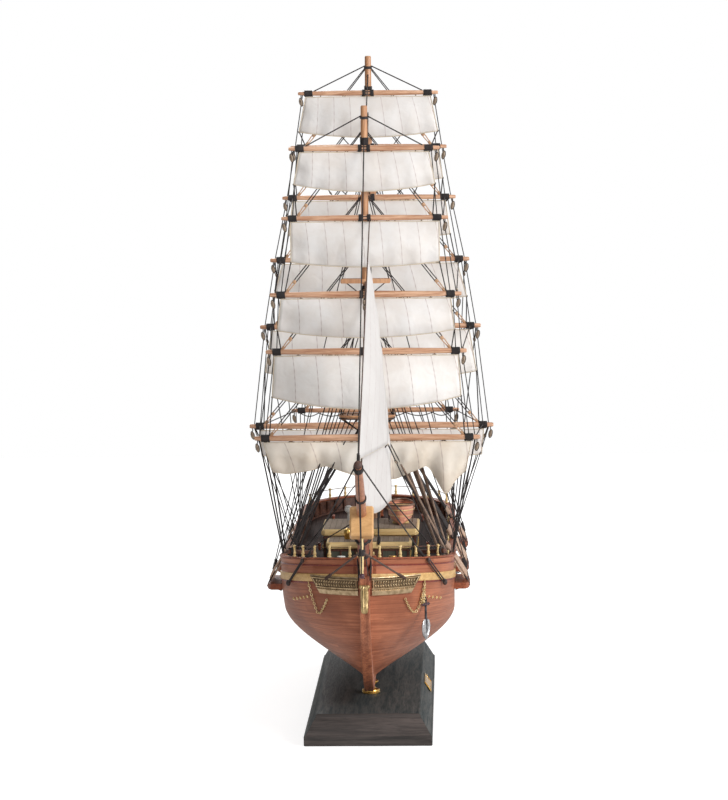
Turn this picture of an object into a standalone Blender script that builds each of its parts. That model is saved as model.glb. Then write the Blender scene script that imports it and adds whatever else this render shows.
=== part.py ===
# Tall ship: wooden display model of a full-rigged ship, on two brass pedestals and a plinth.
# Units are metres, +Z up. The bow points to -Y and port is +X. The origin is the centre of
# the plinth's underside, on the surface that the model stands on.
import math

import bmesh
import bpy
from mathutils import Matrix, Vector

GAP = 0.0003  # left between pieces that touch

# Plinth and pedestals
PLINTH_WIDE, PLINTH_LONG = 0.105, 0.440
PLINTH_EDGE, PLINTH_TOP, PLINTH_SLOPE = 0.0085, 0.0250, 0.011
PEDESTAL_Y = (-0.105, 0.130)

# Hull: rail and keel heights, breadth and the ends of the rail
BEAM_HALF = 0.0715
KEEL_BOTTOM, KEEL_DEEP, KEEL_HALF = 0.0365, 0.0072, 0.0040
GARBOARD_Z = KEEL_BOTTOM + KEEL_DEEP + GAP
BOW_Y, STERN_Y, POST_Y = -0.270, 0.285, 0.235
FOREFOOT = 0.105
RAIL_LOW, RAIL_LOW_Y, BOW_SHEER, STERN_SHEER = 0.1430, 0.03, 0.0160, 0.0100
BULWARK_HIGH, BULWARK_THICK, DECK_CAMBER = 0.0120, 0.0030, 0.0012
RAIL_THICK = 0.0015
BILGE_H = 0.56  # share of the hull's height at which it reaches its full breadth

# Spars
DOUBLING = 0.0065  # each upper mast stands this far ahead of the one below
SAIL_THICK = 0.0008

for old in list(bpy.data.objects):
    bpy.data.objects.remove(old, do_unlink=True)
parts = bpy.data.collections.new("tall_ship_model")
bpy.context.scene.collection.children.link(parts)


def finish_material(name, colour, roughness, metallic=0.0):
    made = bpy.data.materials.new(name)
    made.use_nodes = True
    shader = made.node_tree.nodes["Principled BSDF"]
    shader.inputs["Base Color"].default_value = (*colour, 1.0)
    shader.inputs["Roughness"].default_value = roughness
    shader.inputs["Metallic"].default_value = metallic
    made.diffuse_color = (*colour, 1.0)
    return made


MAHOGANY = finish_material("mahogany", (0.36, 0.12, 0.06), 0.35)
BOXWOOD = finish_material("boxwood", (0.66, 0.42, 0.16), 0.45)
SPAR_WOOD = finish_material("spar_wood", (0.62, 0.34, 0.15), 0.45)
PLINTH_WOOD = finish_material("plinth_wood", (0.05, 0.035, 0.03), 0.2)
BRASS = finish_material("brass", (0.72, 0.48, 0.18), 0.3, 1.0)
OLD_BRASS = finish_material("old_brass", (0.30, 0.25, 0.12), 0.45, 1.0)
IRON = finish_material("iron", (0.16, 0.16, 0.17), 0.45, 1.0)
CANVAS = finish_material("canvas", (0.84, 0.80, 0.74), 0.9)


# Making pieces

def keep(obj, name, material):
    """Names a finished piece, gives it its material and puts it in the ship's collection."""
    obj.name = name
    obj.data.name = name
    obj.data.materials.clear()
    obj.data.materials.append(material)
    if obj.name not in parts.objects:
        parts.objects.link(obj)
    return obj


def from_bmesh(bm):
    bmesh.ops.recalc_face_normals(bm, faces=bm.faces)
    mesh = bpy.data.meshes.new("piece")
    bm.to_mesh(mesh)
    bm.free()
    return bpy.data.objects.new("piece", mesh)


def block(size, centre, turn=None, bevel=0.0):
    """A box, given its full sizes, with its edges rounded where bevel is given."""
    bm = bmesh.new()
    bmesh.ops.create_cube(bm, size=1.0, matrix=Matrix.Diagonal((*size, 1.0)))
    if bevel:
        bmesh.ops.bevel(bm, geom=bm.edges, offset=bevel, segments=2, affect="EDGES")
    place = Matrix.Translation(centre)
    bmesh.ops.transform(bm, matrix=place @ turn if turn else place, verts=bm.verts)
    return from_bmesh(bm)


def spar(points, radii, sides=2):
    """A round tapered stick or wire through points, as a closed mesh."""
    curve = bpy.data.curves.new("piece", "CURVE")
    curve.dimensions = "3D"
    curve.bevel_depth = 1.0
    curve.bevel_resolution = sides
    curve.use_fill_caps = True
    line = curve.splines.new("POLY")
    line.points.add(len(points) - 1)
    for spot, point, radius in zip(line.points, points, radii):
        spot.co = (*point, 1.0)
        spot.radius = radius
    drawn = bpy.data.objects.new("piece", curve)
    parts.objects.link(drawn)
    bpy.context.view_layer.update()
    mesh = bpy.data.meshes.new_from_object(drawn.evaluated_get(bpy.context.evaluated_depsgraph_get()))
    bpy.data.objects.remove(drawn)
    bm = bmesh.new()
    bm.from_mesh(mesh)
    bmesh.ops.remove_doubles(bm, verts=bm.verts, dist=0.00002)
    return from_bmesh(bm)


def hoop(radius, thick, steps):
    """A round ring lying flat about the origin."""
    bm = bmesh.new()
    rings = []
    for step in range(steps):
        turn = 2 * math.pi * step / steps
        ring = []
        for side in range(6):
            angle = math.pi * side / 3
            reach = radius + thick * math.cos(angle)
            ring.append(bm.verts.new((reach * math.cos(turn), reach * math.sin(turn), thick * math.sin(angle))))
        rings.append(ring + ring[:1])
    grid_faces(bm, rings + rings[:1])
    return from_bmesh(bm)


def stick(start, end, radius, far=None):
    """A straight round piece with its radius at each end."""
    return spar([start, end], [radius, radius if far is None else far])


def turned(profile, foot, steps=16):
    """A piece turned about a vertical axis: profile runs from top to bottom as (radius, height)."""
    bm = bmesh.new()
    spots = [bm.verts.new((radius, 0.0, height)) for radius, height in profile]
    for upper, lower in zip(spots, spots[1:]):
        bm.edges.new((upper, lower))
    mesh = bpy.data.meshes.new("piece")
    bm.to_mesh(mesh)
    bm.free()
    obj = bpy.data.objects.new("piece", mesh)
    obj.location = foot
    screw = obj.modifiers.new("turn", "SCREW")
    screw.steps = steps
    screw.render_steps = steps
    screw.use_merge_vertices = True
    screw.merge_threshold = 0.00005
    return baked(obj)


def baked(obj):
    """The piece with its modifiers and its place applied to its mesh."""
    parts.objects.link(obj)
    bpy.context.view_layer.update()
    graph = bpy.context.evaluated_depsgraph_get()
    mesh = bpy.data.meshes.new_from_object(obj.evaluated_get(graph))
    mesh.transform(obj.matrix_world)
    bpy.data.objects.remove(obj)
    bm = bmesh.new()
    bm.from_mesh(mesh)
    return from_bmesh(bm)


def outline(points, thick, place):
    """A flat closed outline drawn in X and Y, made thick both ways along Z, then placed."""
    curve = bpy.data.curves.new("piece", "CURVE")
    curve.dimensions = "2D"
    curve.fill_mode = "BOTH"
    curve.extrude = thick / 2
    line = curve.splines.new("POLY")
    line.points.add(len(points) - 1)
    line.use_cyclic_u = True
    for spot, (x, y) in zip(line.points, points):
        spot.co = (x, y, 0.0, 1.0)
    drawn = bpy.data.objects.new("piece", curve)
    parts.objects.link(drawn)
    bpy.context.view_layer.update()
    mesh = bpy.data.meshes.new_from_object(drawn.evaluated_get(bpy.context.evaluated_depsgraph_get()))
    bpy.data.objects.remove(drawn)
    mesh.transform(place)
    bm = bmesh.new()
    bm.from_mesh(mesh)
    bmesh.ops.remove_doubles(bm, verts=bm.verts, dist=0.00002)
    return from_bmesh(bm)


def combined(first, others, operation="UNION"):
    """One closed solid from pieces that run into each other, or one cut by the others."""
    parts.objects.link(first)
    for other in others:
        parts.objects.link(other)
        joint = first.modifiers.new("joint", "BOOLEAN")
        joint.operation = operation
        joint.solver = "EXACT"
        joint.object = other
    bpy.context.view_layer.update()
    graph = bpy.context.evaluated_depsgraph_get()
    mesh = bpy.data.meshes.new_from_object(first.evaluated_get(graph))
    for used in (first, *others):
        bpy.data.objects.remove(used)
    return bpy.data.objects.new("piece", mesh)


# Hull form. Every level of the hull is one plan curve from the stem to the stern: a round
# entrance and a round or fine run, at the breadth that the midship section has there.

def blend(low, high, share):
    return low + (high - low) * share


def ease(share):
    share = min(max(share, 0.0), 1.0)
    return share * share * (3 - 2 * share)


def rail_z(y):
    if y < RAIL_LOW_Y:
        return RAIL_LOW + BOW_SHEER * ((RAIL_LOW_Y - y) / (RAIL_LOW_Y - BOW_Y)) ** 2
    return RAIL_LOW + STERN_SHEER * ((y - RAIL_LOW_Y) / (STERN_Y - RAIL_LOW_Y)) ** 2


def deck_z(y, x=0.0):
    return rail_z(y) - BULWARK_HIGH + DECK_CAMBER * (1 - (x / BEAM_HALF) ** 2)


def level_ends(level):
    """Where the plan curve of one level starts and ends; level is 0 at the keel, 1 at the rail."""
    stern = POST_Y + (STERN_Y - POST_Y) * ease((level - 0.5) / 0.35)
    return BOW_Y + FOREFOOT * (1 - level) ** 3, stern


def breadth(level, y, grow=0.0):
    """Half-breadth of the hull at one level and place, pushed out by grow."""
    bow, stern = level_ends(level)
    bow, stern = bow - grow, stern + grow
    rise = min(level / BILGE_H, 1.0)
    section = (1 - (1 - rise) ** 1.7) ** (1 / 1.9)
    entrance = blend(0.24, 0.10, ease(level * 1.1))
    fore = min(max((y - bow) / entrance, 0.0), 1.0)
    fore = (1 - (1 - fore) ** blend(1.6, 2.0, level)) ** (1 / blend(1.2, 2.0, level))
    run = blend(0.22, 0.085, ease((level - 0.25) / 0.7))
    aft = min(max((stern - y) / run, 0.0), 1.0)
    aft = (1 - (1 - aft) ** blend(1.6, 2.2, level)) ** (1 / blend(1.1, 2.2, level))
    return max((BEAM_HALF + grow) * section * fore * aft, 0.0)


def plan(level, columns, grow=0.0, floor=KEEL_HALF):
    """Half a plan curve, closer spaced at the round ends: a list of (x, y)."""
    bow, stern = level_ends(level)
    bow, stern = bow - grow, stern + grow
    found = []
    for step in range(columns + 1):
        y = bow + (stern - bow) * (1 - math.cos(math.pi * step / columns)) / 2
        found.append((max(breadth(level, y, grow), floor), y))
    return found


def grid_faces(bm, rows):
    for low, high in zip(rows, rows[1:]):
        for step in range(len(low) - 1):
            corners = [low[step], low[step + 1], high[step + 1], high[step]]
            kept = list(dict.fromkeys(corners))
            if len(kept) > 2:
                bm.faces.new(kept)


def mirrored(bm):
    """The half made on +X, mirrored across the centre plane and welded there."""
    half = bm.verts[:] + bm.edges[:] + bm.faces[:]
    bmesh.ops.mirror(bm, geom=half, matrix=Matrix.Identity(4), merge_dist=-1, axis="X")
    bmesh.ops.remove_doubles(bm, verts=bm.verts, dist=0.00001)
    return from_bmesh(bm)


HULL_COLUMNS = 28
HULL_LEVELS = (0.0, 0.04, 0.10, 0.18, 0.28, 0.40, 0.50, 0.62, 0.75, 0.88, 1.0)


def level_of(z, y):
    """The hull's level, from 0 at the keel to 1 at the rail, of a height at one place."""
    return (z - GARBOARD_Z) / (rail_z(y) - GARBOARD_Z)


def hull():
    """Planked hull, solid below its deck, with its bulwark standing round the deck."""
    bm = bmesh.new()
    rows = []
    for level in HULL_LEVELS:
        row = []
        for x, y in plan(level, HULL_COLUMNS):
            row.append(bm.verts.new((x, y, blend(GARBOARD_Z, rail_z(y), level))))
        rows.append(row)
    inner_top, inner_foot = [], []
    for x, y in plan(1.0, HULL_COLUMNS, grow=-BULWARK_THICK):
        inner_top.append(bm.verts.new((x, y, rail_z(y))))
        inner_foot.append(bm.verts.new((x, y, deck_z(y, x))))
    middle = [bm.verts.new((0.0, spot.co.y, deck_z(spot.co.y))) for spot in inner_foot]
    keel_row = [bm.verts.new((0.0, spot.co.y, GARBOARD_Z)) for spot in rows[0]]
    grid_faces(bm, [keel_row, *rows, inner_top, inner_foot, middle])
    # The flat faces against the stem and the sternpost, from the keel up to the rail.
    for end in (0, -1):
        edge = [row[end] for row in rows]
        centre = [keel_row[end]] + [bm.verts.new((0.0, *spot.co.yz)) for spot in edge[1:]]
        for step in range(len(edge) - 1):
            bm.faces.new((edge[step], edge[step + 1], centre[step + 1], centre[step]))
        top_centre = bm.verts.new((0.0, *inner_top[end].co.yz))
        bm.faces.new((edge[-1], inner_top[end], top_centre, centre[-1]))
        bm.faces.new((inner_top[end], inner_foot[end], middle[end], top_centre))
    bored = combined(mirrored(bm), [bowsprit_bore()], "DIFFERENCE")
    return keep(combined(bored, channels()), "hull", MAHOGANY)


# Channels: the boards that stand out from the sides abreast of the masts and spread the shrouds.
CHANNEL_OUT, CHANNEL_DOWN, CHANNEL_THICK, CHANNEL_ROOT = 0.0840, 0.0262, 0.0048, 0.0060
CHANNELS = (
    # fore end, aft end
    (-0.166, -0.106),
    (-0.014, 0.058),
    (0.138, 0.190),
)


def channels():
    """The six channels, each rooted a little way inside the hull."""
    made = []
    for fore, aft in CHANNELS:
        middle = (fore + aft) / 2
        z = rail_z(middle) - CHANNEL_DOWN + CHANNEL_THICK / 2
        root = min(breadth(level_of(z, y), y) for y in (fore, middle, aft)) - CHANNEL_ROOT
        for side in (-1, 1):
            x = side * (root + CHANNEL_OUT) / 2
            made.append(block((CHANNEL_OUT - root, aft - fore, CHANNEL_THICK), (x, middle, z), bevel=0.0008))
    return made


def keel():
    """Stem, keel and sternpost in one flat frame, sawn to the hull's outline."""
    inner, outer = [], []
    for level in HULL_LEVELS[-2::-1]:
        y = level_ends(level)[0]
        inner.append((y - GAP, blend(GARBOARD_Z, rail_z(y), level) - GAP * (1 - level)))
    inner[-1] = (inner[-1][0], GARBOARD_Z - GAP)
    for y, z in inner:
        reach = 0.0085 * ease((z - 0.06) / 0.07) + 0.006
        outer.append((y - reach, z - 0.004 * (1 - ease((z - GARBOARD_Z) / 0.03))))
    outer[-1] = (inner[-1][0] - 0.002, KEEL_BOTTOM)
    post_top = blend(GARBOARD_Z, rail_z(POST_Y), 0.5) - 0.002
    post = [(POST_Y + GAP, GARBOARD_Z - GAP), (POST_Y + GAP, post_top)]
    post_aft = [(POST_Y + 0.007, post_top), (POST_Y + 0.007, KEEL_BOTTOM)]
    stand = Matrix(((0, 0, 1, 0), (1, 0, 0, 0), (0, 1, 0, 0), (0, 0, 0, 1)))
    frame = outline(inner + post + post_aft + outer[::-1], 2 * KEEL_HALF, stand)
    return keep(frame, "keel", MAHOGANY)


def ring_on_rail(name, rise, thick, inside, outside, material):
    """A flat strip round the top of the bulwark, such as the cap rail."""
    bm = bmesh.new()
    loops = []
    for grow in (outside, -inside):
        for up in (rise, rise + thick):
            row = [bm.verts.new((x, y, rail_z(y) + up))
                   for x, y in plan(1.0, HULL_COLUMNS, grow=grow, floor=0.0)]
            loops.append(row)
    low_out, high_out, low_in, high_in = loops
    grid_faces(bm, [low_out, high_out, high_in, low_in, low_out])
    return keep(combined(mirrored(bm), [bowsprit_bore()], "DIFFERENCE"), name, material)


def rail_spot(distance, from_stern=False):
    """The place on the rail's plan curve this far from the stem or the stern, along the curve."""
    curve = plan(1.0, 160, grow=-0.002, floor=0.0)
    if from_stern:
        curve = curve[::-1]
    gone = 0.0
    for (x, y), (next_x, next_y) in zip(curve, curve[1:]):
        length = math.hypot(next_x - x, next_y - y)
        if gone + length >= distance:
            share = (distance - gone) / length
            return blend(x, next_x, share), blend(y, next_y, share)
        gone += length
    return curve[-1]


def railing(name, spots):
    """Turned stanchions on the cap rail with a thin rail through their heads."""
    foot, high = RAIL_THICK + 2 * GAP, 0.0080
    places = [(x, y, rail_z(y) + foot) for x, y in spots]
    rail = spar([(x, y, z + high) for x, y, z in places], [0.0006] * len(places), sides=1)
    posts = [turned([(0.0, high + 0.0013), (0.0011, high + 0.0006), (0.0006, high - 0.0018),
                     (0.0010, 0.0030), (0.0011, 0.0), (0.0, 0.0)], spot, steps=6) for spot in places]
    return keep(combined(rail, posts), name, BOXWOOD)


BOW_POSTS = (0.012, 0.030, 0.046, 0.062, 0.078)
STERN_POSTS = (0.016, 0.034, 0.052, 0.070, 0.088)


def railings():
    bow = [rail_spot(away) for away in BOW_POSTS]
    railing("bow_railing_port", bow)
    railing("bow_railing_starboard", [(-x, y) for x, y in bow])
    stern = [rail_spot(away, from_stern=True) for away in STERN_POSTS]
    railing("stern_railing", [(-x, y) for x, y in stern[::-1]] + [(0.0, STERN_Y - 0.002)] + stern)


# Plinth, pedestals and plate

def plinth():
    bm = bmesh.new()
    bmesh.ops.create_cube(bm, size=1.0)
    for vert in bm.verts:
        vert.co.x *= PLINTH_WIDE
        vert.co.y *= PLINTH_LONG
        vert.co.z = 0.0 if vert.co.z < 0 else PLINTH_EDGE
    top = [face for face in bm.faces if face.normal.z > 0.9]
    made = bmesh.ops.extrude_face_region(bm, geom=top)["geom"]
    for vert in [item for item in made if isinstance(item, bmesh.types.BMVert)]:
        vert.co.x -= math.copysign(PLINTH_SLOPE, vert.co.x)
        vert.co.y -= math.copysign(PLINTH_SLOPE, vert.co.y)
        vert.co.z = PLINTH_TOP
    bmesh.ops.delete(bm, geom=top, context="FACES_ONLY")
    return keep(from_bmesh(bm), "plinth", PLINTH_WOOD)


def pedestal(name, y):
    high = KEEL_BOTTOM - GAP - PLINTH_TOP - GAP
    profile = [(0.0, high), (0.0062, high), (0.0064, high - 0.0010), (0.0058, high - 0.0024),
               (0.0036, high - 0.0034), (0.0030, 0.0056), (0.0040, 0.0044), (0.0070, 0.0036),
               (0.0076, 0.0030), (0.0076, 0.0), (0.0, 0.0)]
    return keep(turned(profile, (0.0, y, PLINTH_TOP + GAP), steps=16), name, BRASS)


def plate():
    """Blank brass plate let in on the plinth's sloping port side."""
    lean = math.atan2(PLINTH_SLOPE, PLINTH_TOP - PLINTH_EDGE)
    away = Vector((math.cos(lean), 0.0, math.sin(lean)))
    middle = Vector((PLINTH_WIDE / 2 - PLINTH_SLOPE / 2, 0.0, (PLINTH_EDGE + PLINTH_TOP) / 2))
    turn = Matrix.Rotation(-lean, 4, "Y")
    made = block((0.0008, 0.050, 0.0105), middle + away * (0.0004 + GAP), turn=turn)
    return keep(made, "plinth_plate", BRASS)


# Bow: bowsprit and what it carries

STEEVE = math.radians(29)
SPRIT_AT_STEM = Vector((0.0, -0.2704, 0.1526))  # where the bowsprit's axis passes the stem
SPRIT_DIR = Vector((0.0, -math.cos(STEEVE), math.sin(STEEVE)))
SPRIT_UP = Vector((0.0, math.sin(STEEVE), math.cos(STEEVE)))
SPRIT_HEEL, SPRIT_LONG, SPRIT_R = 0.020, 0.081, 0.0048
CAP_SIZE = (0.0185, 0.0095, 0.0250)
CAP_RISE = 0.0030  # the cap's middle above the bowsprit's axis
JIB_R = 0.0038
JIB_LIFT = SPRIT_R + JIB_R + 0.0004
JIB_START, JIB_END = 0.040, 0.1860


def sprit_point(along, up=0.0):
    """A point this far out from the stem along the bowsprit and this far above its axis."""
    return SPRIT_AT_STEM + SPRIT_DIR * along + SPRIT_UP * up


def bowsprit():
    made = stick(sprit_point(-SPRIT_HEEL), sprit_point(SPRIT_LONG), SPRIT_R, SPRIT_R * 0.85)
    return keep(made, "bowsprit", MAHOGANY)


def bowsprit_bore():
    """Cutter for the bowsprit's way through the bulwark, down to its heel in the deck."""
    return stick(sprit_point(-SPRIT_HEEL - GAP), sprit_point(0.05), SPRIT_R + GAP)


def bowsprit_cap():
    """Block at the bowsprit's end, bored for the jibboom that passes over the bowsprit."""
    turn = Matrix.Rotation(-STEEVE, 4, "X")
    centre = sprit_point(SPRIT_LONG + GAP + CAP_SIZE[1] / 2, CAP_RISE)
    body = block(CAP_SIZE, centre, turn=turn, bevel=0.0015)
    bore = stick(sprit_point(SPRIT_LONG - 0.01, JIB_LIFT), sprit_point(SPRIT_LONG + 0.02, JIB_LIFT),
                 JIB_R + GAP)
    return keep(combined(body, [bore], "DIFFERENCE"), "bowsprit_cap", BOXWOOD)


def jibboom():
    points = [sprit_point(at, JIB_LIFT) for at in (JIB_START, 0.12, JIB_END - 0.004, JIB_END)]
    return keep(spar(points, [JIB_R, JIB_R, 0.0026, 0.0016]), "jibboom", SPAR_WOOD)


def dolphin_striker():
    head = sprit_point(SPRIT_LONG + 0.005, CAP_RISE - CAP_SIZE[2] / 2 - GAP - 0.0004)
    foot = head + Vector((0.0, -0.004, -0.030))
    return keep(spar([head, head.lerp(foot, 0.8), foot], [0.0013, 0.0016, 0.0009]),
                "dolphin_striker", BOXWOOD)


def stem_ornament():
    """Small carved scroll on the stem head, under the bowsprit."""
    y = BOW_Y - 0.0134 - GAP
    profile = [(0.0, 0.024), (0.0028, 0.0225), (0.0034, 0.017), (0.0022, 0.012),
               (0.0030, 0.007), (0.0012, 0.001), (0.0, 0.0)]
    return keep(turned(profile, (0.0, y - 0.0036, 0.117), steps=12), "stem_ornament", BRASS)


def bow_y(level, x, grow):
    """Where the plan curve of one level reaches the half-breadth x, coming from the stem."""
    curve = plan(level, 240, grow=grow, floor=0.0)
    for (near, y), (far, next_y) in zip(curve, curve[1:]):
        if far >= x:
            return blend(y, next_y, (x - near) / (far - near))
    return curve[-1][1]


BOARD_FROM, BOARD_TO = 0.0056, 0.0445
BOARD_LOW, BOARD_HIGH = -0.0290, -0.0140  # below the rail at the stem


def name_board(name, side):
    """Board that follows the round of the bow, with no lettering."""
    bm = bmesh.new()
    rows = []
    for grow in (GAP, 0.0016):
        for up in (BOARD_LOW, BOARD_HIGH):
            z = rail_z(BOW_Y) + up
            row = []
            for step in range(7):
                x = blend(BOARD_FROM, BOARD_TO, step / 6)
                level = (z - GARBOARD_Z) / (rail_z(bow_y(1.0, x, 0.0)) - GARBOARD_Z)
                row.append(bm.verts.new((side * x, bow_y(level, x, grow), z)))
            rows.append(row)
    inner_low, inner_high, outer_low, outer_high = rows
    loop = [inner_low, inner_high, outer_high, outer_low, inner_low]
    grid_faces(bm, loop)
    for end in (0, -1):
        bm.faces.new([row[end] for row in loop[:-1]])
    return keep(from_bmesh(bm), name, OLD_BRASS)


# Masts. Each row is one mast: name, place, heights of the lower masthead, top, topmast head,
# crosstrees and pole head, and the widths of the top and of the crosstrees.
MASTS = (
    ("fore", -0.150, 0.290, 0.2645, 0.392, 0.3770, 0.521, 0.046, 0.041),
    ("main", 0.000, 0.300, 0.2720, 0.412, 0.3960, 0.566, 0.050, 0.043),
    ("mizzen", 0.150, 0.278, 0.2560, 0.366, 0.3540, 0.486, 0.040, 0.034),
)
# Yards: mast, which section of the mast carries it, name, height, length and middle radius.
YARDS = (
    ("fore", 0, "course", 0.2470, 0.187, 0.0030),
    ("fore", 1, "lower_topsail", 0.3190, 0.166, 0.0028),
    ("fore", 1, "upper_topsail", 0.3660, 0.158, 0.0028),
    ("fore", 2, "topgallant", 0.4290, 0.137, 0.0024),
    ("fore", 2, "royal", 0.4860, 0.124, 0.0025),
    ("main", 0, "course", 0.2450, 0.213, 0.0031),
    ("main", 1, "lower_topsail", 0.3320, 0.192, 0.0029),
    ("main", 1, "upper_topsail", 0.3900, 0.173, 0.0028),
    ("main", 2, "topgallant", 0.4440, 0.150, 0.0025),
    ("main", 2, "royal", 0.4875, 0.135, 0.0025),
    ("main", 2, "skysail", 0.5340, 0.121, 0.0024),
    ("mizzen", 0, "crossjack", 0.2470, 0.154, 0.0025),
    ("mizzen", 1, "lower_topsail", 0.3100, 0.130, 0.0023),
    ("mizzen", 1, "upper_topsail", 0.3450, 0.118, 0.0022),
    ("mizzen", 2, "topgallant", 0.3980, 0.098, 0.0020),
    ("mizzen", 2, "royal", 0.4420, 0.080, 0.0018),
)
# Square sails: mast, name, height at the middle, half-width at the head and at the foot,
# how far the middle of the foot hangs below its corners, and how far the sail bellies out.
SAILS = (
    ("fore", "course", 0.0240, 0.086, 0.086, 0.004, 0.008),
    ("fore", "lower_topsail", 0.0440, 0.076, 0.078, 0.010, 0.012),
    ("fore", "upper_topsail", 0.0320, 0.070, 0.073, 0.006, 0.010),
    ("fore", "topgallant", 0.0370, 0.061, 0.061, 0.004, 0.009),
    ("fore", "royal", 0.0320, 0.053, 0.058, 0.006, 0.008),
    ("main", "course", 0.0260, 0.098, 0.096, 0.004, 0.008),
    ("main", "lower_topsail", 0.0440, 0.086, 0.092, 0.008, 0.012),
    ("main", "upper_topsail", 0.0350, 0.076, 0.084, 0.006, 0.010),
    ("main", "topgallant", 0.0330, 0.066, 0.070, 0.004, 0.009),
    ("main", "royal", 0.0290, 0.060, 0.064, 0.005, 0.008),
    ("main", "skysail", 0.0350, 0.054, 0.060, 0.005, 0.008),
    ("mizzen", "lower_topsail", 0.0420, 0.058, 0.066, 0.006, 0.010),
    ("mizzen", "upper_topsail", 0.0280, 0.052, 0.056, 0.005, 0.009),
    ("mizzen", "topgallant", 0.0300, 0.043, 0.048, 0.004, 0.008),
    ("mizzen", "royal", 0.0260, 0.034, 0.039, 0.004, 0.006),
)
MAST_R = (0.0036, 0.0027, 0.0030)  # lower mast, topmast and topgallant mast
SECTIONS = ("lower_mast", "topmast", "topgallant_mast")


def mast_line(mast, section):
    """Place of one mast section: y, the height of its foot and of its head."""
    name, y, low_head, top, mid_head, trees, pole, _, _ = mast
    feet = (deck_z(y) + GAP, top - 0.006, trees - 0.0025)
    heads = (low_head, mid_head, pole)
    return y - DOUBLING * section, feet[section], heads[section]


def yard(y, z, long, radius):
    half = long / 2
    xs = (-half, -half * 0.86, -half * 0.3, half * 0.3, half * 0.86, half)
    radii = [radius * share for share in (0.62, 0.76, 1.0, 1.0, 0.76, 0.62)]
    return spar([(x, y, z) for x in xs], radii)


def mast_section(mast, section):
    """A mast section with its head fittings and the yards that are lashed to it."""
    name, _, _, top, _, trees, _, top_wide, trees_wide = mast
    y, foot, head = mast_line(mast, section)
    radius = MAST_R[section]
    tip = radius * (0.9 if section == 2 else 0.8)
    joined = []
    above = y - DOUBLING
    if section == 0:
        joined.append(block((top_wide, 0.030, 0.0022), (0.0, y - 0.0010, top), bevel=0.0007))
        for side in (-1, 1):
            joined.append(block((0.0030, 0.024, 0.0034), (side * 0.0046, y - 0.0010, top - 0.0026)))
        joined.append(block((0.0084, 0.0150, 0.0026), (0.0, y - 0.0030, head - 0.0012), bevel=0.0004))
    if section == 1:
        for ahead in (-0.0050, 0.0105):
            joined.append(block((trees_wide, 0.0034, 0.0036), (0.0, y - ahead, trees), bevel=0.0006))
        for side in (-1, 1):
            joined.append(block((0.0044, 0.0190, 0.0030), (side * 0.0042, y - 0.0028, trees)))
        joined.append(block((0.0090, 0.0156, 0.0022), (0.0, y - 0.0036, head - 0.0012), bevel=0.0003))
    for row_mast, row_section, _, z, long, thick in YARDS:
        if row_mast == name and row_section == section:
            ahead = radius + thick + 0.0006
            joined.append(yard(y - ahead, z, long, thick))
            joined.append(block((0.0040, ahead, 0.0034), (0.0, y - ahead / 2, z), bevel=0.0006))
    pole = spar([(0.0, y, foot), (0.0, y, foot + 0.01), (0.0, y, head)], [radius, radius, tip])
    made = combined(pole, joined)
    if section < 2:
        hole = stick((0.0, above, head + 0.01), (0.0, above, foot), MAST_R[section + 1] + GAP)
        made = combined(made, [hole], "DIFFERENCE")
    return keep(made, f"{name}_{SECTIONS[section]}", SPAR_WOOD)


def sail_rows(across, down, point):
    """Front and back of a thin sheet: point(u, v) gives its middle surface and its normal."""
    bm = bmesh.new()
    sheets = []
    for side in (-0.5, 0.5):
        rows = []
        for j in range(down + 1):
            row = []
            for i in range(across + 1):
                spot, normal = point(i / across, j / down)
                row.append(bm.verts.new(spot + normal * (side * SAIL_THICK)))
            rows.append(row)
        sheets.append(rows)
    front, back = sheets
    for rows in sheets:
        grid_faces(bm, rows)
    grid_faces(bm, [front[0], back[0]])
    grid_faces(bm, [front[-1], back[-1]])
    grid_faces(bm, [[row[0] for row in front], [row[0] for row in back]])
    grid_faces(bm, [[row[-1] for row in front], [row[-1] for row in back]])
    return from_bmesh(bm)


# Brailed sails hang unevenly: places across the yard, and how far the foot hangs below it there.
BRAILED = {
    ("fore", "course"): (
        (-0.0860, 0.0240), (-0.0730, 0.0262), (-0.0460, 0.0225), (-0.0370, 0.0190), (-0.0060, 0.0290),
        (0.0226, 0.0310), (0.0506, 0.0190), (0.0670, 0.0460), (0.0740, 0.0330), (0.0860, 0.0240),
    ),
}


def along_table(table, place):
    """The value at a place in a table of (place, value) rows, straight between them."""
    for (low, before), (high, after) in zip(table, table[1:]):
        if place <= high:
            return blend(before, after, max(place - low, 0.0) / (high - low))
    return table[-1][1]


def square_sail(row):
    mast_name, name, drop, head, foot, sag, belly = row
    mast = next(item for item in MASTS if item[0] == mast_name)
    found = next(item for item in YARDS if item[0] == mast_name and item[2] == name)
    _, section, _, z, _, thick = found
    y = mast_line(mast, section)[0] - MAST_R[section] - thick - 0.0006
    top = z - thick - GAP

    hangs = BRAILED.get((mast_name, name))

    def point(u, v):
        side = 2 * u - 1
        half = head + (foot - head) * v
        if hangs:
            swell = belly * 0.5 * math.sin(math.pi * v)
            fall = along_table(hangs, side * half) * v
        else:
            swell = belly * math.sin(math.pi * 0.86 * v) * (1 - side * side)
            fall = drop * v + sag * (v * (1 - side * side)) - sag * v
        return Vector((side * half, y - swell, top - fall)), Vector((0.0, 1.0, 0.0))

    made = sail_rows(len(hangs) * 2 if hangs else 6, 3, point)
    return keep(made, f"{mast_name}_{name}_sail", CANVAS)


STAY_R = 0.0005
# Jibs: name, top of the stay, how far out on the jibboom it ends and how thick the jibboom is
# there, how far down the stay the sail's head and tack lie, and the sail's clew.
JIBS = (
    ("outer_jib", (0.0, -0.1722, 0.4275), 0.1780, 0.0028, 0.17, 0.985, (0.0160, -0.2700, 0.2500)),
    ("inner_jib", (0.0, -0.1697, 0.3765), 0.1100, 0.0038, 0.15, 0.985, (0.0200, -0.2600, 0.2060)),
)


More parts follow.
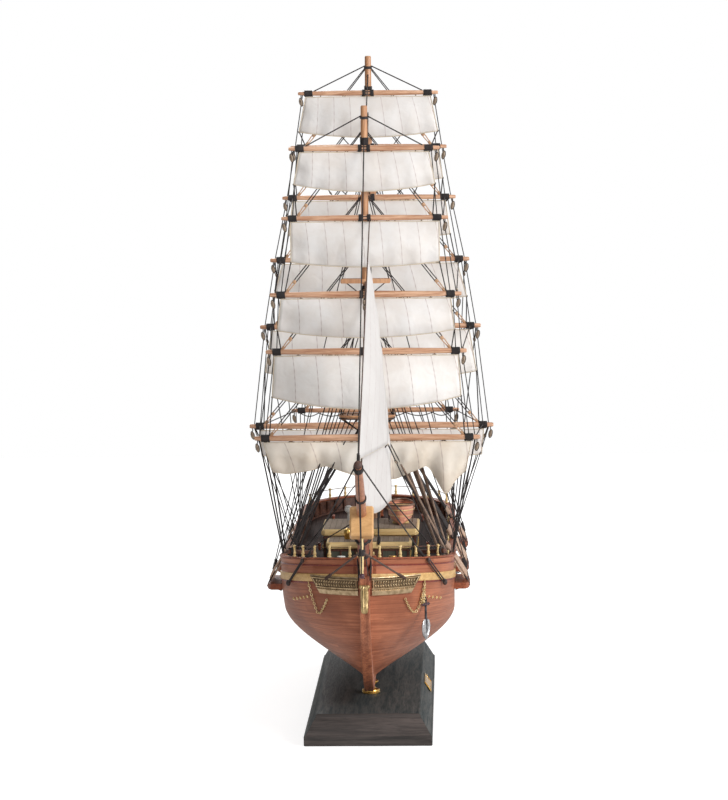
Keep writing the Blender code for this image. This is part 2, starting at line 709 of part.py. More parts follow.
def jib(name, top, along, thick, head_share, tack_share, clew):
    """A three-cornered sail with its luff on a stay, bellied to port, in one solid with the stay."""
    top, clew = Vector(top), Vector(clew)
    foot = sprit_point(along, JIB_LIFT + thick + STAY_R + GAP + 0.0001)
    head, tack = top.lerp(foot, head_share), top.lerp(foot, tack_share)
    across = Vector((1.0, 0.0, 0.0))

    def point(u, v):
        luff, leech = head.lerp(tack, v), head.lerp(clew, v)
        spot = luff.lerp(leech, 0.02 + 0.98 * u)
        return spot + across * (0.004 * math.sin(math.pi * u) * math.sin(math.pi * v)), across

    return keep(combined(stick(top, foot, STAY_R), [sail_rows(4, 8, point)]), name, CANVAS)


# Spanker: boom, gaff and sail swing together about the mizzen mast
SPANKER_Y = 0.150
BOOM_Z, BOOM_END, BOOM_R = 0.1840, 0.300, 0.0018
GAFF_Z, GAFF_END, GAFF_END_Z, GAFF_R = 0.2320, 0.258, 0.2800, 0.0015


def spanker():
    clear = MAST_R[0] + 0.0006
    jaw = SPANKER_Y + clear
    boom = spar([(0.0, jaw, BOOM_Z), (0.0, blend(jaw, BOOM_END, 0.5), BOOM_Z),
                 (0.0, BOOM_END, BOOM_Z)], [BOOM_R, BOOM_R, BOOM_R * 0.6])
    keep(boom, "spanker_boom", SPAR_WOOD)
    gaff = stick((0.0, jaw, GAFF_Z), (0.0, GAFF_END, GAFF_END_Z), GAFF_R, GAFF_R * 0.6)
    keep(gaff, "spanker_gaff", SPAR_WOOD)
    low, high = BOOM_Z + BOOM_R + GAP + 0.0002, GAFF_Z - GAFF_R * 1.1 - GAP

    def point(u, v):
        foot_y = blend(jaw + 0.001, BOOM_END - 0.012, u)
        head_y = blend(jaw + 0.001, GAFF_END - 0.006, u)
        rise = (GAFF_END_Z - GAFF_Z) / (GAFF_END - jaw)
        head_z = high - 0.0006 + (head_y - jaw) * rise
        y = blend(head_y, foot_y, v)
        z = blend(head_z, low, v)
        swell = 0.005 * math.sin(math.pi * u) * math.sin(math.pi * v)
        return Vector((swell, y, z)), Vector((1.0, 0.0, 0.0))

    keep(sail_rows(8, 5, point), "spanker_sail", CANVAS)


# Deck

def on_deck(size, y, name, material, x=0.0, bevel=0.001):
    z = deck_z(y + size[1] / 2, 0.0) if y > RAIL_LOW_Y else deck_z(y - size[1] / 2, 0.0)
    return keep(block(size, (x, y, z + GAP + size[2] / 2 + 0.0003), bevel=bevel), name, material)


HOUSES = (
    # name, half-width of the roof, fore end, aft end, height of the roof's top
    ("fore_house", 0.0358, -0.1390, -0.0955, 0.1580),
    ("main_house", 0.0414, -0.0950, -0.0120, 0.1640),
)
ROOF_THICK, ROOF_EAVE = 0.0064, 0.0015


def house(name, half, fore, aft, top):
    """Deck house: walls of dark wood under a thick light roof with rounded edges."""
    middle, long = (fore + aft) / 2, aft - fore
    floor = max(deck_z(fore), deck_z(aft)) + GAP
    roof = block((2 * half, long - GAP, ROOF_THICK), (0.0, middle, top - ROOF_THICK / 2), bevel=0.0016)
    walls_high = top - 0.001 - floor
    walls = block((2 * half - 2 * ROOF_EAVE, long - 2 * ROOF_EAVE, walls_high),
                  (0.0, middle, floor + walls_high / 2))
    return keep(combined(roof, [walls]), name, BOXWOOD)


# A boat's section: shares of its depth from the keel up, and of its half-breadth there.
BOAT_SECTION = ((0.0, 0.20), (0.10, 0.52), (0.28, 0.78), (0.60, 0.95), (1.0, 1.0))


def boat(name, x):
    """Clinker boat on its chocks, round in the bilge and pointed at both ends."""
    fore, aft, keel_z, deep, half = -0.070, -0.014, 0.1644, 0.0165, 0.0118
    bm = bmesh.new()
    rows = []
    for level, full in BOAT_SECTION:
        row = []
        for step in range(11):
            share = step / 10
            plump = math.sin(math.pi * blend(0.04, 0.96, share)) ** 0.6
            wide = half * plump * full
            rise = 0.0022 * (2 * share - 1) ** 2 * level
            row.append(bm.verts.new((wide, blend(fore, aft, share), keel_z + deep * level + rise)))
        rows.append(row)
    inner = []
    for spot in rows[-1]:
        inner.append(bm.verts.new((spot.co.x * 0.80, spot.co.y * 0.97 + 0.03 * (fore + aft) / 2, spot.co.z)))
    floor = [bm.verts.new((spot.co.x * 0.9, spot.co.y, spot.co.z - 0.007)) for spot in inner]
    middle = [bm.verts.new((0.0, *spot.co.yz)) for spot in floor]
    keel_row = [bm.verts.new((0.0, *spot.co.yz)) for spot in rows[0]]
    grid_faces(bm, [keel_row, *rows, inner, floor, middle])
    for end in (0, -1):
        edge = [keel_row[end]] + [row[end] for row in rows]
        centre = [bm.verts.new((0.0, *spot.co.yz)) for spot in edge[2:]]
        centre = [edge[0]] + centre
        bm.faces.new((edge[0], edge[1], edge[2], centre[1]))
        for step in range(1, len(centre) - 1):
            bm.faces.new((edge[step + 1], edge[step + 2], centre[step + 1], centre[step]))
        top_centre = bm.verts.new((0.0, *inner[end].co.yz))
        bm.faces.new((edge[-1], inner[end], top_centre, centre[-1]))
        bm.faces.new((inner[end], floor[end], middle[end], top_centre))
    made = mirrored(bm)
    made.data.transform(Matrix.Translation((x, 0.0, 0.0)))
    return keep(made, name, MAHOGANY)


def windlass():
    """Barrel between two bitts on the forecastle deck."""
    y = -0.218
    z = deck_z(y - 0.006) + GAP
    barrel = stick((-0.017, y, z + 0.0052), (0.017, y, z + 0.0052), 0.0026)
    bitts = [block((0.0028, 0.0056, 0.0092), (x, y, z + 0.0046), bevel=0.0004) for x in (-0.0125, 0.0125)]
    return keep(combined(barrel, bitts), "windlass", MAHOGANY)


WHEEL = Vector((0.0, 0.2280, 0.1605))
WHEEL_R, WHEEL_RIM = 0.0100, 0.0066


def wheel_and_stand():
    """Steering wheel on its axle at the stern, with the box that carries it behind."""
    stand_y = WHEEL.y + 0.0045
    floor = deck_z(stand_y + 0.004) + GAP
    high = WHEEL.z + 0.0035 - floor
    stand = block((0.0090, 0.0060, high), (0.0, stand_y + 0.001, floor + high / 2), bevel=0.0006)
    keep(stand, "wheel_stand", MAHOGANY)
    rim = hoop(WHEEL_RIM, 0.0008, 16)
    upright = Matrix.Translation(WHEEL) @ Matrix.Rotation(math.pi / 2, 4, "X")
    rim.data.transform(upright)
    spokes = []
    for turn in range(8):
        angle = math.pi * (turn + 0.3) / 4
        out = Vector((math.cos(angle), 0.0, math.sin(angle)))
        spokes.append(stick(WHEEL + out * 0.0009, WHEEL + out * WHEEL_R, 0.0005))
    hub = stick(WHEEL + Vector((0.0, -0.0014, 0.0)), WHEEL + Vector((0.0, 0.0021, 0.0)), 0.0018)
    keep(combined(rim, [hub, *spokes]), "steering_wheel", MAHOGANY)


RUDDER_Y = POST_Y + 0.0070 + 0.0022
RUDDER_LONG, RUDDER_LOW, RUDDER_HIGH = 0.019, KEEL_BOTTOM + 0.002, 0.0930


def rudder():
    """Rudder hung on the sternpost: a flat blade behind a round stock on its hinge's axis."""
    stock = stick((0.0, RUDDER_Y, RUDDER_LOW), (0.0, RUDDER_Y, RUDDER_HIGH), 0.0018)
    blade = [(RUDDER_Y, RUDDER_LOW), (RUDDER_Y + RUDDER_LONG, RUDDER_LOW),
             (RUDDER_Y + RUDDER_LONG, RUDDER_LOW + 0.018), (RUDDER_Y + 0.011, RUDDER_HIGH - 0.006),
             (RUDDER_Y + 0.008, RUDDER_HIGH), (RUDDER_Y, RUDDER_HIGH)]
    stand = Matrix(((0, 0, 1, 0), (1, 0, 0, 0), (0, 1, 0, 0), (0, 0, 0, 1)))
    return keep(combined(stock, [outline(blade, 0.0030, stand)]), "rudder", MAHOGANY)


def anchor():
    """Anchor hung flat against the port bow, shank up and arms down."""
    low, x, clear = 0.0905, 0.0480, 0.0014
    level = 0.68
    y = bow_y(level, x, clear)
    lean = math.atan2(breadth(level, y + 0.002, clear) - breadth(level, y - 0.002, clear), 0.004)
    shank = stick((0.0, 0.0, 0.0), (0.0, 0.0, 0.032), 0.0009)
    arm = ((0.0036, 0.0140), (0.0045, 0.0105), (0.0042, 0.0070), (0.0026, 0.0028), (0.0, 0.0))
    bent = [(0.0, -y, z) for y, z in arm] + [(0.0, y, z) for y, z in arm[-2::-1]]
    arms = spar(bent, [0.0005] + [0.0011] * 7 + [0.0005])
    stock = stick((-0.0001, -0.0055, 0.0275), (0.0, 0.0055, 0.0275), 0.0008)
    made = combined(shank, [arms, stock])
    made.data.transform(Matrix.Translation((x, y, low)) @ Matrix.Rotation(-lean, 4, "Z"))
    return keep(made, "anchor", IRON)


def main():
    plinth()
    pedestal("fore_pedestal", PEDESTAL_Y[0])
    pedestal("aft_pedestal", PEDESTAL_Y[1])
    plate()
    hull()
    keel()
    ring_on_rail("cap_rail", GAP, RAIL_THICK, 0.0040, 0.0012, MAHOGANY)
    railings()
    bowsprit()
    bowsprit_cap()
    jibboom()
    dolphin_striker()
    stem_ornament()
    name_board("name_board_port", 1.0)
    name_board("name_board_starboard", -1.0)
    for mast in MASTS:
        for section in range(3):
            mast_section(mast, section)
    for row in SAILS:
        square_sail(row)
    for row in JIBS:
        jib(*row)
    spanker()
    for row in HOUSES:
        house(*row)
    boat("boat_port", 0.0256)
    on_deck((0.034, 0.028, 0.005), 0.052, "main_hatch", BOXWOOD)
    on_deck((0.050, 0.042, 0.013), 0.104, "cabin", BOXWOOD)
    windlass()
    on_deck((0.007, 0.007, 0.012), 0.205, "binnacle", BRASS, bevel=0.0008)
    wheel_and_stand()
    rudder()
    anchor()


main()
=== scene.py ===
# Display model of a full-rigged ship on its plinth: the looks of every piece. Metres, +Z up,
# the bow towards -Y and port at +X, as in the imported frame.
from math import atan2, cos, pi, radians, sin, sqrt

import bmesh
import bpy
from mathutils import Matrix, Quaternion, Vector, noise


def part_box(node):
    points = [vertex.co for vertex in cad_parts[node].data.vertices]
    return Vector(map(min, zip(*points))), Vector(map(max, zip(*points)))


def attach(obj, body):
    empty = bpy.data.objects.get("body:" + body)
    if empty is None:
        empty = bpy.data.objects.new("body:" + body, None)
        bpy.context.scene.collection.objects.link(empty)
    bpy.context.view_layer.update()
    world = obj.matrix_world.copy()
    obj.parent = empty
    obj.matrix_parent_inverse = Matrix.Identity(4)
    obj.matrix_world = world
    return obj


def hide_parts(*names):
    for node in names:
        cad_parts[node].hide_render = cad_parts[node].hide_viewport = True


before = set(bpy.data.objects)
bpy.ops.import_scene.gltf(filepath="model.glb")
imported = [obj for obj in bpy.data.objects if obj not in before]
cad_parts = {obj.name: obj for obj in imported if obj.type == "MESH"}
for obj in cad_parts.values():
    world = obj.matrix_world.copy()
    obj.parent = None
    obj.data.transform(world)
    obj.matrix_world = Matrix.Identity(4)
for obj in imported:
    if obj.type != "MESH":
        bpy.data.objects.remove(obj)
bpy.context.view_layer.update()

# Camera
# A long lens from ahead and a little to port of the bow, just above the middle of the masts.
# It leans by half the angle at which the masts stand to the plinth.
FRAME_HIGH, FOCAL_PX, SENSOR = 800, 3300, 36
lens = bpy.data.cameras.new("camera")
lens.sensor_width = SENSOR
lens.lens = FOCAL_PX * SENSOR / FRAME_HIGH
camera = bpy.data.objects.new("camera", lens)
bpy.context.scene.collection.objects.link(camera)
camera.location = (0.0702, -2.88, 0.478)
turn, pitch, roll = radians(1.525), radians(4.194), radians(-0.55)
ahead = Vector((-sin(turn) * cos(pitch), cos(turn) * cos(pitch), -sin(pitch)))
camera.rotation_mode = "QUATERNION"
camera.rotation_quaternion = ahead.to_track_quat("-Z", "Y") @ Quaternion((0, 0, 1), roll)
bpy.context.scene.camera = camera


# Floor and studio light
# A translucent white table, lit a little from below, in a white room. A large soft box stands to
# the right and ahead, weaker ones to the left and behind.
def srgb(red, green, blue):
    """A colour given as 0 to 255 on screen, as a shader holds it."""
    return (*(((v / 255 + 0.055) / 1.055) ** 2.4 if v > 10 else v / 255 / 12.92
              for v in (red, green, blue)), 1)


def node(tree, kind, sockets=None, **settings):
    """A shader node. Each of its sockets takes a value or the output of another node."""
    made = tree.nodes.new("ShaderNode" + kind)
    for name, value in settings.items():
        setattr(made, name, value)
    for socket, value in (sockets or {}).items():
        if isinstance(value, bpy.types.NodeSocket):
            tree.links.new(value, made.inputs[socket])
        else:
            made.inputs[socket].default_value = value
    return made


def sums(tree, operation, first, second=0, third=0):
    return node(tree, "Math", {0: first, 1: second, 2: third}, operation=operation).outputs[0]


def between(tree, value, low, high, to_low=0, to_high=1):
    """The value's place between low and high, as 0 to 1 or between the two given results."""
    sockets = {"Value": value, "From Min": low, "From Max": high, "To Min": to_low, "To Max": to_high}
    return node(tree, "MapRange", sockets).outputs[0]


def mixed(tree, share, low, high, mode="MIX"):
    sockets = {0: share, 6: low, 7: high}
    return node(tree, "Mix", sockets, data_type="RGBA", blend_type=mode).outputs[2]


def surface(name, roughness=0.5, metallic=0, **plain):
    """A material with its Principled shader's plain values; words in plain use _ for a space."""
    made = bpy.data.materials.new(name)
    made.use_nodes = True
    shader = made.node_tree.nodes["Principled BSDF"]
    shader.inputs["Roughness"].default_value = roughness
    shader.inputs["Metallic"].default_value = metallic
    for word, value in plain.items():
        shader.inputs[word.replace("_", " ")].default_value = value
    return made, made.node_tree, shader


def dress(tree, shader, colour, rough=None, height=None, strength=0.5, distance=0.00005):
    """Feeds a shader its colour and, where they vary, its roughness and its relief."""
    tree.links.new(colour, shader.inputs["Base Color"])
    if rough:
        tree.links.new(rough, shader.inputs["Roughness"])
    if height:
        relief = node(tree, "Bump", {"Strength": strength, "Distance": distance, "Height": height})
        tree.links.new(relief.outputs[0], shader.inputs["Normal"])


def clouds(tree, place, size, detail=2, **more):
    return node(tree, "TexNoise", {"Vector": place, "Scale": size, "Detail": detail, **more}).outputs[0]


def spot_of(tree):
    return node(tree, "TexCoord").outputs["Object"]


FLOOR_HALF = 2.4
corners = [(x, y, 0) for x, y in ((-1, -1), (1, -1), (1, 1), (-1, 1))]
floor_mesh = bpy.data.meshes.new("floor")
floor_mesh.from_pydata([(x * FLOOR_HALF, y * FLOOR_HALF, z) for x, y, z in corners], [], [(0, 1, 2, 3)])
floor_finish, tree, shader = surface("floor", roughness=0.9)
grain = node(tree, "TexNoise", {"Scale": 3, "Detail": 2})
seen = node(tree, "LightPath").outputs["Is Camera Ray"]
colour = mixed(tree, grain.outputs[0], srgb(186, 186, 186), srgb(190, 190, 189))
colour = mixed(tree, seen, srgb(160, 156, 153), colour)
dress(tree, shader, colour)
shader.inputs["Emission Color"].default_value = (1, 1, 1, 1)
tree.links.new(between(tree, seen, 0, 1, 0.34, 0.72), shader.inputs["Emission Strength"])
floor_mesh.materials.append(floor_finish)
floor = bpy.data.objects.new("floor", floor_mesh)
bpy.context.scene.collection.objects.link(floor)

room = bpy.data.worlds.new("room")
room.use_nodes = True
bpy.context.scene.world = room
tree = room.node_tree
seen = node(tree, "LightPath").outputs["Is Camera Ray"]
across = node(tree, "SeparateXYZ", {0: node(tree, "TexCoord").outputs["Generated"]}).outputs[0]
glow = mixed(tree, between(tree, across, -1, 1), (0.19, 0.19, 0.19, 1), (0.82, 0.82, 0.82, 1))
glow = mixed(tree, seen, glow, (1, 1, 1, 1))
tree.links.new(glow, tree.nodes["Background"].inputs["Color"])
bpy.context.scene.view_settings.view_transform = "Standard"

# Soft boxes: name, place, what each points at, its width and its power.
for name, spot, aim, wide, power in (
    ("key", (2.5, -2.1, 1.5), (0, 0, 0.2), 1.6, 84),
    ("fill", (0.3, -3.4, 0.9), (0, 0, 0.25), 1.6, 9),
    ("back", (-0.8, 2.6, 1.9), (0, 0, 0.25), 1.6, 40),
):
    lamp = bpy.data.lights.new(name, "AREA")
    lamp.shape = "DISK"
    lamp.size = wide
    lamp.energy = power
    box = bpy.data.objects.new(name, lamp)
    bpy.context.scene.collection.objects.link(box)
    box.location = spot
    box.rotation_mode = "QUATERNION"
    box.rotation_quaternion = (Vector(aim) - Vector(spot)).to_track_quat("-Z", "Y")


# Plinth
# A low board of dark stained hardwood with mitred mouldings: an upright lower edge, a long slope
# and a small bead round the polished top. Glued up in one and varnished.
def angles(steps):
    return [2 * pi * step / steps for step in range(steps)]


def square_to(way, along):
    """The part of a direction that stands square to another."""
    return (way - along * way.dot(along)).normalized()


class Shape:
    """The points and faces of one piece while it is drawn, with a flat place for each corner."""

    def __init__(self):
        self.points, self.faces, self.flats, self.paints = [], [], [], []
        self.paint = 0

    def fill(self, corners):
        """One flat face with these corners."""
        first = len(self.points)
        self.points.extend(corners)
        self.faces.append(tuple(range(first, first + len(corners))))
        self.flats.extend([(0.5, 0.5)] * len(corners))
        self.paints.append(self.paint)

    def grid(self, rows, flat=None, around=False):
        """Faces between rows of points; around closes each row on itself."""
        first, wide = len(self.points), len(rows[0])
        flat = flat or (lambda i, j: (i / wide, j))
        for row in rows:
            self.points.extend(row)
        for j in range(len(rows) - 1):
            low, high = first + j * wide, first + (j + 1) * wide
            for i in range(wide if around else wide - 1):
                k = (i + 1) % wide
                self.faces.append((low + i, low + k, high + k, high + i))
                self.flats.extend((flat(i, j), flat(i + 1, j), flat(i + 1, j + 1), flat(i, j + 1)))
                self.paints.append(self.paint)

    def turned(self, profile, place, steps=16, flutes=0, depth=0):
        """A piece turned about its own Z axis from (radius, height) pairs, fluted if asked."""
        place = place if isinstance(place, Matrix) else Matrix.Translation(place)
        rows = []
        for radius, height in profile:
            rows.append([])
            for angle in angles(steps):
                reach = radius * (1 - depth * (0.5 + 0.5 * cos(flutes * angle))) if flutes else radius
                rows[-1].append(place @ Vector((reach * cos(angle), reach * sin(angle), height)))
        self.grid(rows, around=True)

    def tube(self, path, radius, sides=6, closed=False):
        """A round line through points, with one radius or one for each point."""
        path = [Vector(spot) for spot in path]
        count = len(path)
        radii = radius if isinstance(radius, (list, tuple)) else [radius] * count
        rows, lengths, gone, side = [], [], 0, None
        for k, spot in enumerate(path):
            before = path[k - 1] if k or closed else spot
            after = path[(k + 1) % count] if k < count - 1 or closed else spot
            along = (after - before).normalized()
            if side is None:
                side = along.cross(Vector((0.31, 0.12, 0.94)) if abs(along.z) < 0.8 else Vector((1, 0, 0)))
            side = square_to(side, along)
            up = along.cross(side)
            rows.append([spot + (side * cos(a) + up * sin(a)) * radii[k] for a in angles(sides)])
            gone += (spot - path[k - 1]).length if k else 0
            lengths.append(gone)
        if closed:
            rows.append(rows[0])
            lengths.append(gone + (path[0] - path[-1]).length)
        self.grid(rows, flat=lambda i, j: (i / sides, lengths[j]), around=True)
        if not closed:
            self.fill(rows[0])
            self.fill(rows[-1])

    def hoop(self, centre, axis, radius, thick, steps=16, sides=6):
        """A ring about an axis, such as a band round a spar."""
        axis = Vector(axis).normalized()
        side = axis.orthogonal().normalized()
        up = axis.cross(side)
        path = [Vector(centre) + (side * cos(a) + up * sin(a)) * radius for a in angles(steps)]
        self.tube(path, thick, sides=sides, closed=True)

    def wrap(self, start, end, radius, thick, turns, sides=5):
        """Turns of line wound round a spar from start to end."""
        start, end = Vector(start), Vector(end)
        axis = (end - start).normalized()
        side = axis.orthogonal().normalized()
        up = axis.cross(side)
        steps = max(int(turns * 10), 4)
        path = []
        for step in range(steps + 1):
            angle = 2 * pi * turns * step / steps
            path.append(start.lerp(end, step / steps) + (side * cos(angle) + up * sin(angle)) * radius)
        self.tube(path, thick, sides=sides)

    def block(self, size, place, edge=0.0004):
        """A squared block with its full sizes and small flat edges."""
        place = place if isinstance(place, Matrix) else Matrix.Translation(place)
        half = [part / 2 for part in size]
        edge = min(edge, min(half) * 0.6)

        def corner(axis, signs):
            spot = [sign * (h - (0 if k == axis else edge)) for k, (sign, h) in enumerate(zip(signs, half))]
            return place @ Vector(spot)

        for axis in range(3):
            a, b = [k for k in range(3) if k != axis]
            for sign in (-1, 1):
                ring = []
                for sa, sb in ((-1, -1), (1, -1), (1, 1), (-1, 1)):
                    signs = [sign, sign, sign]
                    signs[a], signs[b] = sa, sb
                    ring.append(corner(axis, signs))
                self.fill(ring)
            for sa, sb in ((-1, -1), (1, -1), (1, 1), (-1, 1)):
                ends = []
                for far in (-1, 1):
                    signs = [far, far, far]
                    signs[a], signs[b] = sa, sb
                    ends += (corner(a, signs), corner(b, signs))
                self.fill([ends[0], ends[1], ends[3], ends[2]])
        for sx in (-1, 1):
            for sy in (-1, 1):
                for sz in (-1, 1):
                    self.fill([corner(axis, (sx, sy, sz)) for axis in range(3)])

    def ball(self, place, radii, steps=10):
        """A rounded body with its own radii across and along, at a place or a spot."""
        place = place if isinstance(place, Matrix) else Matrix.Translation(place)
        shape = place @ Matrix.Diagonal((*radii, 1))
        rings = steps // 2 + 1
        profile = [(sin(pi * k / rings), cos(pi * k / rings)) for k in range(rings + 1)]
        self.turned(profile, shape, steps=steps)


def piece(name, shape, finishes, body="ship", replaces=(), sharp=35):
    """The drawn shape as an object that rides on its body."""
    mesh = bpy.data.meshes.new(name)
    mesh.from_pydata([tuple(spot) for spot in shape.points], [], shape.faces)
    mesh.uv_layers.new(name="flat").data.foreach_set("uv", [v for flat in shape.flats for v in flat])
    mesh.polygons.foreach_set("material_index", shape.paints)
    for finish in finishes:
        mesh.materials.append(finish)
    bm = bmesh.new()
    bm.from_mesh(mesh)
    bmesh.ops.remove_doubles(bm, verts=bm.verts, dist=0.000002)
    bmesh.ops.dissolve_degenerate(bm, dist=0.0000005, edges=bm.edges)
    bmesh.ops.recalc_face_normals(bm, faces=bm.faces)
    bm.to_mesh(mesh)
    bm.free()
    mesh.shade_smooth()
    mesh.set_sharp_from_angle(angle=radians(sharp))
    made = bpy.data.objects.new(name, mesh)
    bpy.context.scene.collection.objects.link(made)
    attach(made, body)
    if replaces:
        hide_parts(*replaces)
    return made


def new_group(name, takes, gives):
    """A shader node group with named sockets: its tree, what it is given and what it gives."""
    tree = bpy.data.node_groups.new(name, "ShaderNodeTree")
    for label, kind, value in takes:
        socket = tree.interface.new_socket(label, in_out="INPUT", socket_type="NodeSocket" + kind)
        socket.default_value = value
    for label, kind in gives:
        tree.interface.new_socket(label, in_out="OUTPUT", socket_type="NodeSocket" + kind)
    return tree, tree.nodes.new("NodeGroupInput").outputs, tree.nodes.new("NodeGroupOutput").inputs


def grouped(tree, group, sockets):
    made = tree.nodes.new("ShaderNodeGroup")
    made.node_tree = group
    for socket, value in sockets.items():
        if isinstance(value, bpy.types.NodeSocket):
            tree.links.new(value, made.inputs[socket])
        else:
            made.inputs[socket].default_value = value
    return made.outputs


# Wood grain: long soft streaks and fine fibres, stretched along the board.
wood_grain, given, gives = new_group(
    "wood_grain", [("Vector", "Vector", (0, 0, 0)), ("Stretch", "Vector", (1, 1, 1))],
    [("Streaks", "Float"), ("Fibres", "Float")])
spot = node(wood_grain, "VectorMath", {0: given["Vector"], 1: given["Stretch"]}, operation="MULTIPLY")
streaks = node(wood_grain, "TexNoise", {"Vector": spot.outputs[0], "Scale": 1, "Detail": 4,
                                        "Roughness": 0.6, "Distortion": 0.7})
fibres = node(wood_grain, "TexNoise", {"Vector": spot.outputs[0], "Scale": 4.5, "Detail": 3,
                                       "Roughness": 0.7, "Distortion": 0.2})
wood_grain.links.new(streaks.outputs[0], gives["Streaks"])
wood_grain.links.new(fibres.outputs[0], gives["Fibres"])


def wood(name, dark, light, stretch, roughness=0.4, **plain):
    """Plain varnished or oiled wood with its grain along one axis of the model."""
    made, tree, shader = surface(name, roughness, **plain)
    grain = grouped(tree, wood_grain, {"Vector": spot_of(tree), "Stretch": stretch})
    colour = mixed(tree, between(tree, grain["Streaks"], 0.3, 0.7), dark, light)
    colour = mixed(tree, between(tree, grain["Fibres"], 0.52, 0.66, 0, 0.55), colour, dark)
    rough = between(tree, grain["Fibres"], 0.3, 0.7, roughness - 0.06, roughness + 0.1)
    dress(tree, shader, colour, rough, grain["Fibres"], 0.6, 0.00006)
    return made


stained = dict(roughness=0.5, Specular_IOR_Level=0.04)
plinth_long = wood("plinth_wood_lengthwise", srgb(48, 57, 59), srgb(92, 92, 90), (260, 16, 260), **stained)
plinth_cross = wood("plinth_wood_crosswise", srgb(56, 54, 53), srgb(94, 86, 83), (16, 260, 260), **stained)

plinth_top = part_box("plinth")[1]
MITRE = 0.0004
# The moulding's section from the floor up: how far in from the edge, and its height.
PLINTH_SECTION = ((0.0006, 0), (0, 0.0007), (0, 0.0078), (0.0004, 0.0085), (0.0011, 0.0088),
                  (0.0084, 0.0214), (0.0091, 0.0218), (0.0092, 0.0236), (0.0099, 0.0245), (0.0108, 0.025))
loops = []
for inset, z in PLINTH_SECTION:
    w, l = plinth_top.x - inset, plinth_top.y - inset
    loops.append([Vector((x, y, z)) for x, y in (
        (w, MITRE - l), (w, l - MITRE), (w - MITRE, l), (MITRE - w, l),
        (-w, l - MITRE), (-w, MITRE - l), (MITRE - w, -l), (w - MITRE, -l))])
plinth = Shape()
for side in range(8):
    plinth.paint = int(side in (2, 6))
    plinth.grid([[loop[side], loop[(side + 1) % 8]] for loop in loops])
plinth.paint = 0
plinth.fill(loops[0])
plinth.fill(loops[-1])
piece("plinth_board", plinth, [plinth_long, plinth_cross], replaces=["plinth"])


# Plinth plate
# A small blank brass plate with a raised rim, held by two round-headed pins on the slope of the
# plinth's port side.
def brass_like(name, colour, worn, roughness, bump=0.00005, scale=900):
    """Cast or turned metal: a base colour, darker where it has tarnished, and fine marks."""
    made, tree, shader = surface(name, roughness, metallic=1)
    place = spot_of(tree)
    cloud, marks = clouds(tree, place, scale * 0.25, 4), clouds(tree, place, scale)
    rough = between(tree, cloud, 0.3, 0.7, roughness - 0.05, roughness + 0.14)
    colour = mixed(tree, between(tree, cloud, 0.42, 0.68), colour, worn)
    dress(tree, shader, colour, rough, marks, distance=bump)
    return made


def box_of(name):
    """A node's low and high corner, its middle and its sizes."""
    low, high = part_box(name)
    return low, high, [(a + b) / 2 for a, b in zip(low, high)], [b - a for a, b in zip(low, high)]


brass = brass_like("polished_brass", srgb(222, 182, 104), srgb(178, 132, 66), 0.22)
middle = box_of("plinth_plate")[2]
slope = atan2(0.011, plinth_top.z - 0.0085)
lie = Matrix.Translation(middle) @ Matrix.Rotation(-slope, 4, "Y")
plate = Shape()
plate.block((0.0007, 0.05, 0.0104), lie, edge=0.0003)
RIM = ((-0.0235, -0.004), (0.0235, -0.004), (0.0235, 0.004), (-0.0235, 0.004))
plate.tube([lie @ Vector((0.00045, y, z)) for y, z in RIM], 0.00028, sides=8, closed=True)
QUARTER = Matrix.Rotation(pi / 2, 4, "Y")
for end in (-0.0212, 0.0212):
    stand = lie @ Matrix.Translation((0.0004, end, 0)) @ QUARTER
    plate.turned([(0, 0.0005), (0.0006, 0.0004), (0.0009, 0.0001), (0.0009, -0.0001)], stand, steps=12)
piece("blank_plate", plate, [brass], replaces=["plinth_plate"])

# Pedestals
# Two turned and polished brass columns that the keel is screwed down on: a wide collar under the
# keel, a waisted stem and a foot with two beads.
seat = box_of("fore_pedestal")[3][2]
PEDESTAL = ((0, seat), (0.0058, seat), (0.0064, seat - 0.0005), (0.0064, seat - 0.0012),
            (0.0056, seat - 0.0022), (0.0042, seat - 0.003), (0.0035, seat - 0.0036), (0.0031, 0.0064),
            (0.0031, 0.0056), (0.0038, 0.005), (0.0044, 0.0042), (0.0062, 0.0037), (0.0072, 0.0034),
            (0.0076, 0.0028), (0.0076, 0.0016), (0.0073, 0.0014), (0.0076, 0.001), (0.0076, 0), (0, 0))
for name in ("fore_pedestal", "aft_pedestal"):
    low, _, middle, _ = box_of(name)
    column = Shape()
    column.turned(PEDESTAL, (*middle[:2], low.z), steps=40)
    piece(f"{name}_brass", column, [brass], replaces=[name])


# Hull
# Narrow mahogany strips bent round frames and glued edge to edge from the keel up to the
# bulwark, sanded and varnished. Butt joints are staggered from strip to strip.
GAP = 0.0003
BEAM_HALF = 0.0715
KEEL_BOTTOM, KEEL_DEEP, KEEL_HALF = 0.0365, 0.0072, 0.004
GARBOARD_Z = KEEL_BOTTOM + KEEL_DEEP + GAP
BOW_Y, STERN_Y, POST_Y = -0.27, 0.285, 0.235
FOREFOOT, BILGE_H = 0.105, 0.56
RAIL_LOW, RAIL_LOW_Y, BOW_SHEER, STERN_SHEER = 0.143, 0.03, 0.016, 0.01
BULWARK_HIGH, BULWARK_THICK, DECK_CAMBER = 0.012, 0.003, 0.0012
WALE_TOP, WALE_LOW = 0.0115, 0.0176


def blend(low, high, share):
    return low + (high - low) * share


def ease(share):
    share = min(max(share, 0), 1)
    return share * share * (3 - 2 * share)


def rail_z(y):
    if y < RAIL_LOW_Y:
        return RAIL_LOW + BOW_SHEER * ((RAIL_LOW_Y - y) / (RAIL_LOW_Y - BOW_Y)) ** 2
    return RAIL_LOW + STERN_SHEER * ((y - RAIL_LOW_Y) / (STERN_Y - RAIL_LOW_Y)) ** 2


def deck_z(y, x=0):
    return rail_z(y) - BULWARK_HIGH + DECK_CAMBER * (1 - (x / BEAM_HALF) ** 2)


